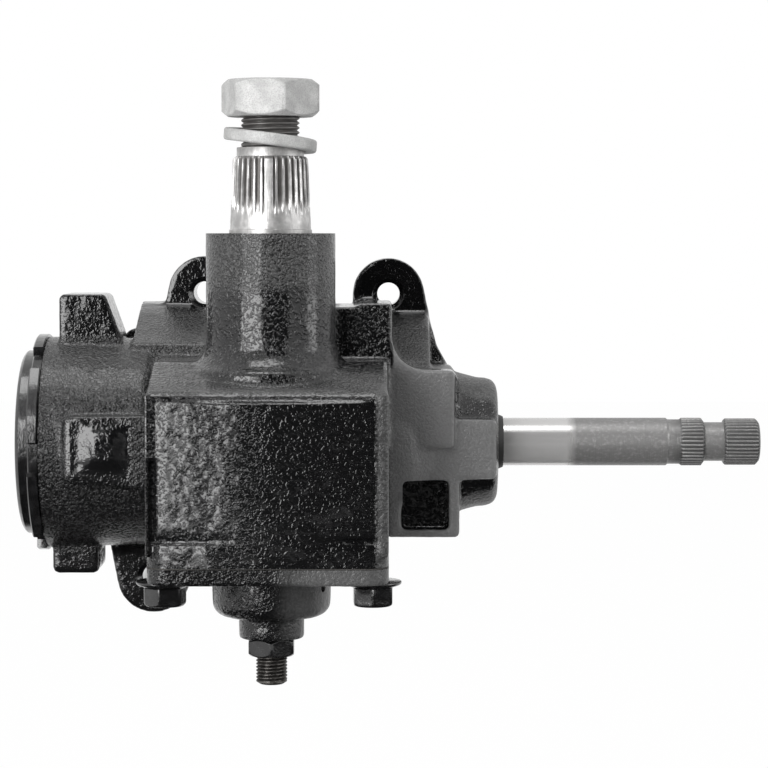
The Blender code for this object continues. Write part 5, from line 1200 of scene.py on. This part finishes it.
class GEARBOX_OT_worm_end(bpy.types.Operator):
    """Turn the worm bearing adjuster and its notched lock ring"""

    bl_idname = "gearbox.worm_end"
    bl_label = "Worm end"

    def execute(self, context):
        left, right = [corner.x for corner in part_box("adjuster_lock_ring")]
        turns = np.degrees(ring_angles(RING_STEPS))
        reach = np.full(RING_STEPS, RING_RADIUS)
        for index in range(NOTCHES):
            middle = (270.0 - 55.0 + 360.0 / NOTCHES * index) % 360
            away = np.abs((turns - middle + 180) % 360 - 180)
            reach = np.where(away < NOTCH_HALF_DEG, RING_RADIUS - NOTCH_DEPTH, reach)
        stations = [(reach - 0.0004, right), (reach, right - 0.0004), (reach, left + 0.0005)]
        stations += [(reach - 0.0005, left), (RING_BORE, left), (RING_BORE, right)]
        ring = Shape().rings(stations, RING_STEPS, WORM_LINE, loop=True).piece("notched_ring")
        dress(ring, "bolts", "gearcase", "cast_black", "adjuster_lock_ring", angle=30)
        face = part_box("worm_bearing_adjuster")[0].x
        stations = [(0.0366, -0.0840), (0.0366, face + 0.0014), (0.0360, face + 0.0006), (0.0350, face)]
        stations += [(0.0290, face), (0.0282, face + 0.0008), (0.0275, face + 0.0028)]
        stations += [(0.0100, face + 0.0030)]
        shape = cad_part("worm_bearing_adjuster", "X", -0.0850, False).rings(stations, 128, WORM_LINE)
        plug = shape.piece("bearing_adjuster")
        drills = Shape()
        for index in range(DRILLS):
            turn = math.tau * (index + 0.5) / DRILLS
            spot = (0, WORM_Y - DRILL_CIRCLE * math.sin(turn), DRILL_CIRCLE * math.cos(turn))
            place = Matrix.Translation(spot) @ ALONG_X
            drills.rings([(0.0025, face + 0.0058), (0.0025, face - 0.002)], 24, place)
        combine(plug, drills)
        dress(plug, "bolts", "gearcase", "cast_black", "worm_bearing_adjuster", angle=30)
        return {"FINISHED"}


class GEARBOX_OT_seals(bpy.types.Operator):
    """Mould the two shaft seals"""

    bl_idname = "gearbox.seals"
    bl_label = "Shaft seals"

    def execute(self, context):
        foot, top = [corner.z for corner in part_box("sector_shaft_seal")]
        stations = [(0.0199, top), (0.0203, top - 0.0004), (0.0203, foot), (0.0178, foot)]
        stations += [(0.0162, foot + 0.0015), (0.0162, top - 0.0012), (0.0168, top - 0.0002)]
        seal = Shape().rings(stations, 96, loop=True).piece("sector_seal")
        dress(seal, "rubber", "gearcase", "seal_rubber", "sector_shaft_seal")
        left, right = [corner.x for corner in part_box("worm_shaft_seal")]
        stations = [(0.0101, right), (0.0104, right - 0.0006), (0.0112, right - 0.0027)]
        stations += [(0.0155, right - 0.0028), (0.0155, left), (0.0098, left), (0.0098, right)]
        seal = Shape().rings(stations, 96, WORM_LINE, loop=True).piece("input_seal")
        dress(seal, "rubber", "gearcase", "seal_rubber", "worm_shaft_seal")
        return {"FINISHED"}


INNER_FINISHES = {
    "steel": ("worm_cup", "worm_balls", "ball_0", "ball_1", "ball_nut", "lash_shim"),
    "bronze": ("sector_bushing", "side_cover_bushing"),
    "blackened": ("ball_guide", "guide_clamp", "clamp_screw"),
}


class GEARBOX_OT_inner_pieces(bpy.types.Operator):
    """Give the bearings, bushings, ball nut and balls their finishes"""

    bl_idname = "gearbox.inner_pieces"
    bl_label = "Inner pieces"

    def execute(self, context):
        for name, node in frame["nodes"].items():
            for finish, stems in INNER_FINISHES.items():
                if name.startswith(stems):
                    node.data.materials.clear()
                    node.data.materials.append(material(finish))
        return {"FINISHED"}


# Floor, lamps and camera

CAMERA_SPOT = (0.0432, -1.0900, 0.0846)
CAMERA_DIP = 3.37
FLOOR_HALF = 4.0
FLOOR_GLOW = 0.985
WHITE = (1.0, 1.0, 1.0, 1.0)
DARK = (0.003, 0.003, 0.003, 1.0)
SCREEN_CENTRE = (0.04, -0.09)
SCREEN_RADIUS = 1.7
SCREEN_START = -103
SCREEN_END = -58
SCREEN_TOP = 2.2
LAMP_AIM = (0.02, -0.06, 0.02)


def lamp(name, spot, width, height, energy):
    light = bpy.data.lights.new(name, "AREA")
    light.shape = "RECTANGLE"
    light.size, light.size_y = width, height
    light.energy = energy
    item = bpy.data.objects.new(name, light)
    item.location = spot
    item.rotation_euler = (Vector(spot) - Vector(LAMP_AIM)).to_track_quat("Z", "Y").to_euler()
    bpy.context.scene.collection.objects.link(item)


def set_floor(level):
    """A pale floor that shows white and still takes the part's shadow."""
    shape = Shape().slab(
        (-FLOOR_HALF, -FLOOR_HALF, level - 0.02), (FLOOR_HALF, FLOOR_HALF, level), 0.1, "XY")
    floor = shape.piece("floor")
    finish = Finish("pale floor", {"Base Color": (*settings("gearbox_studio").floor, 1.0), "Roughness": 0.9})
    matt = Wire(finish, finish.shader.outputs[0])
    glow = finish.node("ShaderNodeEmission", {})
    blend = finish.node("ShaderNodeMixShader", {0: finish.seen_directly() * FLOOR_GLOW, 1: matt, 2: glow})
    finish.feed(finish.tree.nodes["Material Output"].inputs["Surface"], blend)
    floor.data.materials.append(finish.material)


def set_screens(level):
    """Dark screens below and to the front, which only mirrors see."""
    outline = arc(*SCREEN_CENTRE, SCREEN_RADIUS, SCREEN_START, SCREEN_END, 24)
    outline += arc(*SCREEN_CENTRE, SCREEN_RADIUS + 0.02, SCREEN_END, SCREEN_START, 24)
    shape = Shape().prism(outline, level + 0.010, SCREEN_TOP)
    shape.slab((-0.40, -1.60, level + 0.004), (1.50, 0.10, level + 0.008), 0.1, "XY")
    screen = shape.piece("dark_screens")
    screen.data.materials.append(Finish("dark cloth", {"Base Color": DARK, "Roughness": 1.0}).material)
    screen.visible_camera = False
    screen.visible_diffuse = False
    screen.visible_shadow = False


class GEARBOX_OT_stage(bpy.types.Operator):
    """Set the pale floor, the soft lamps and the camera"""

    bl_idname = "gearbox.stage"
    bl_label = "Studio"

    def execute(self, context):
        studio = settings("gearbox_studio")
        level = CAD_BOX[0][2] - studio.floor_drop
        set_floor(level)
        set_screens(level)
        lamp("left_lamp", (-0.745, -1.302, 0.30), 0.95, 1.1, studio.left_lamp)
        lamp("top_lamp", (-0.10, -0.35, 1.25), 0.7, 0.55, studio.top_lamp)
        lamp("right_lamp", (1.30, -0.30, 0.35), 0.5, 0.9, studio.right_lamp)

        world = bpy.data.worlds.new("white studio")
        context.scene.world = world
        world.use_nodes = True
        nodes = Nodes(world.node_tree)
        sky = world.node_tree.nodes["Background"]
        nodes.feed(sky.inputs["Color"], WHITE)
        nodes.feed(sky.inputs["Strength"], nodes.seen_directly() * (1.0 - studio.sky) + studio.sky)

        lens = bpy.data.cameras.new("camera")
        lens.lens = studio.lens
        lens.sensor_width = 36.0
        lens.clip_end = 50.0
        camera = bpy.data.objects.new("camera", lens)
        camera.location = CAMERA_SPOT
        camera.rotation_euler = (math.radians(90.0 - CAMERA_DIP), 0.0, 0.0)
        context.scene.collection.objects.link(camera)
        context.scene.camera = camera
        context.scene.view_settings.view_transform = "Standard"
        return {"FINISHED"}


# Panel and registration

STEPS = (
    GEARBOX_OT_housing, GEARBOX_OT_side_cover, GEARBOX_OT_cover_bolts, GEARBOX_OT_lash_adjuster,
    GEARBOX_OT_sector_shaft, GEARBOX_OT_pitman_nut, GEARBOX_OT_lock_washer, GEARBOX_OT_input_shaft,
    GEARBOX_OT_worm_end, GEARBOX_OT_seals, GEARBOX_OT_inner_pieces, GEARBOX_OT_stage,
)
GROUPS = {
    "gearbox_paint": GearboxPaint,
    "gearbox_metal": GearboxMetal,
    "gearbox_sizes": GearboxSizes,
    "gearbox_studio": GearboxStudio,
}


class GEARBOX_PT_panel(bpy.types.Panel):
    """Settings and building steps of the gearbox"""

    bl_label = "Steering Gearbox"
    bl_idname = "GEARBOX_PT_panel"
    bl_space_type = "VIEW_3D"
    bl_region_type = "UI"
    bl_category = "Gearbox"

    def draw(self, context):
        for name, group in GROUPS.items():
            box = self.layout.box()
            box.label(text=group.__doc__)
            for key in group.__annotations__:
                box.prop(getattr(context.scene, name), key)
        for step in STEPS:
            self.layout.operator(step.bl_idname)


def register():
    for group in GROUPS.values():
        bpy.utils.register_class(group)
    for step in STEPS + (GEARBOX_PT_panel,):
        bpy.utils.register_class(step)
    for name, group in GROUPS.items():
        setattr(bpy.types.Scene, name, PointerProperty(type=group))


def unregister():
    for name in GROUPS:
        delattr(bpy.types.Scene, name)
    for step in reversed(STEPS + (GEARBOX_PT_panel,)):
        bpy.utils.unregister_class(step)
    for group in reversed(list(GROUPS.values())):
        bpy.utils.unregister_class(group)


def main():
    register()
    for step in STEPS:
        family, name = step.bl_idname.split(".")
        getattr(getattr(bpy.ops, family), name)()


if __name__ == "__main__":
    main()
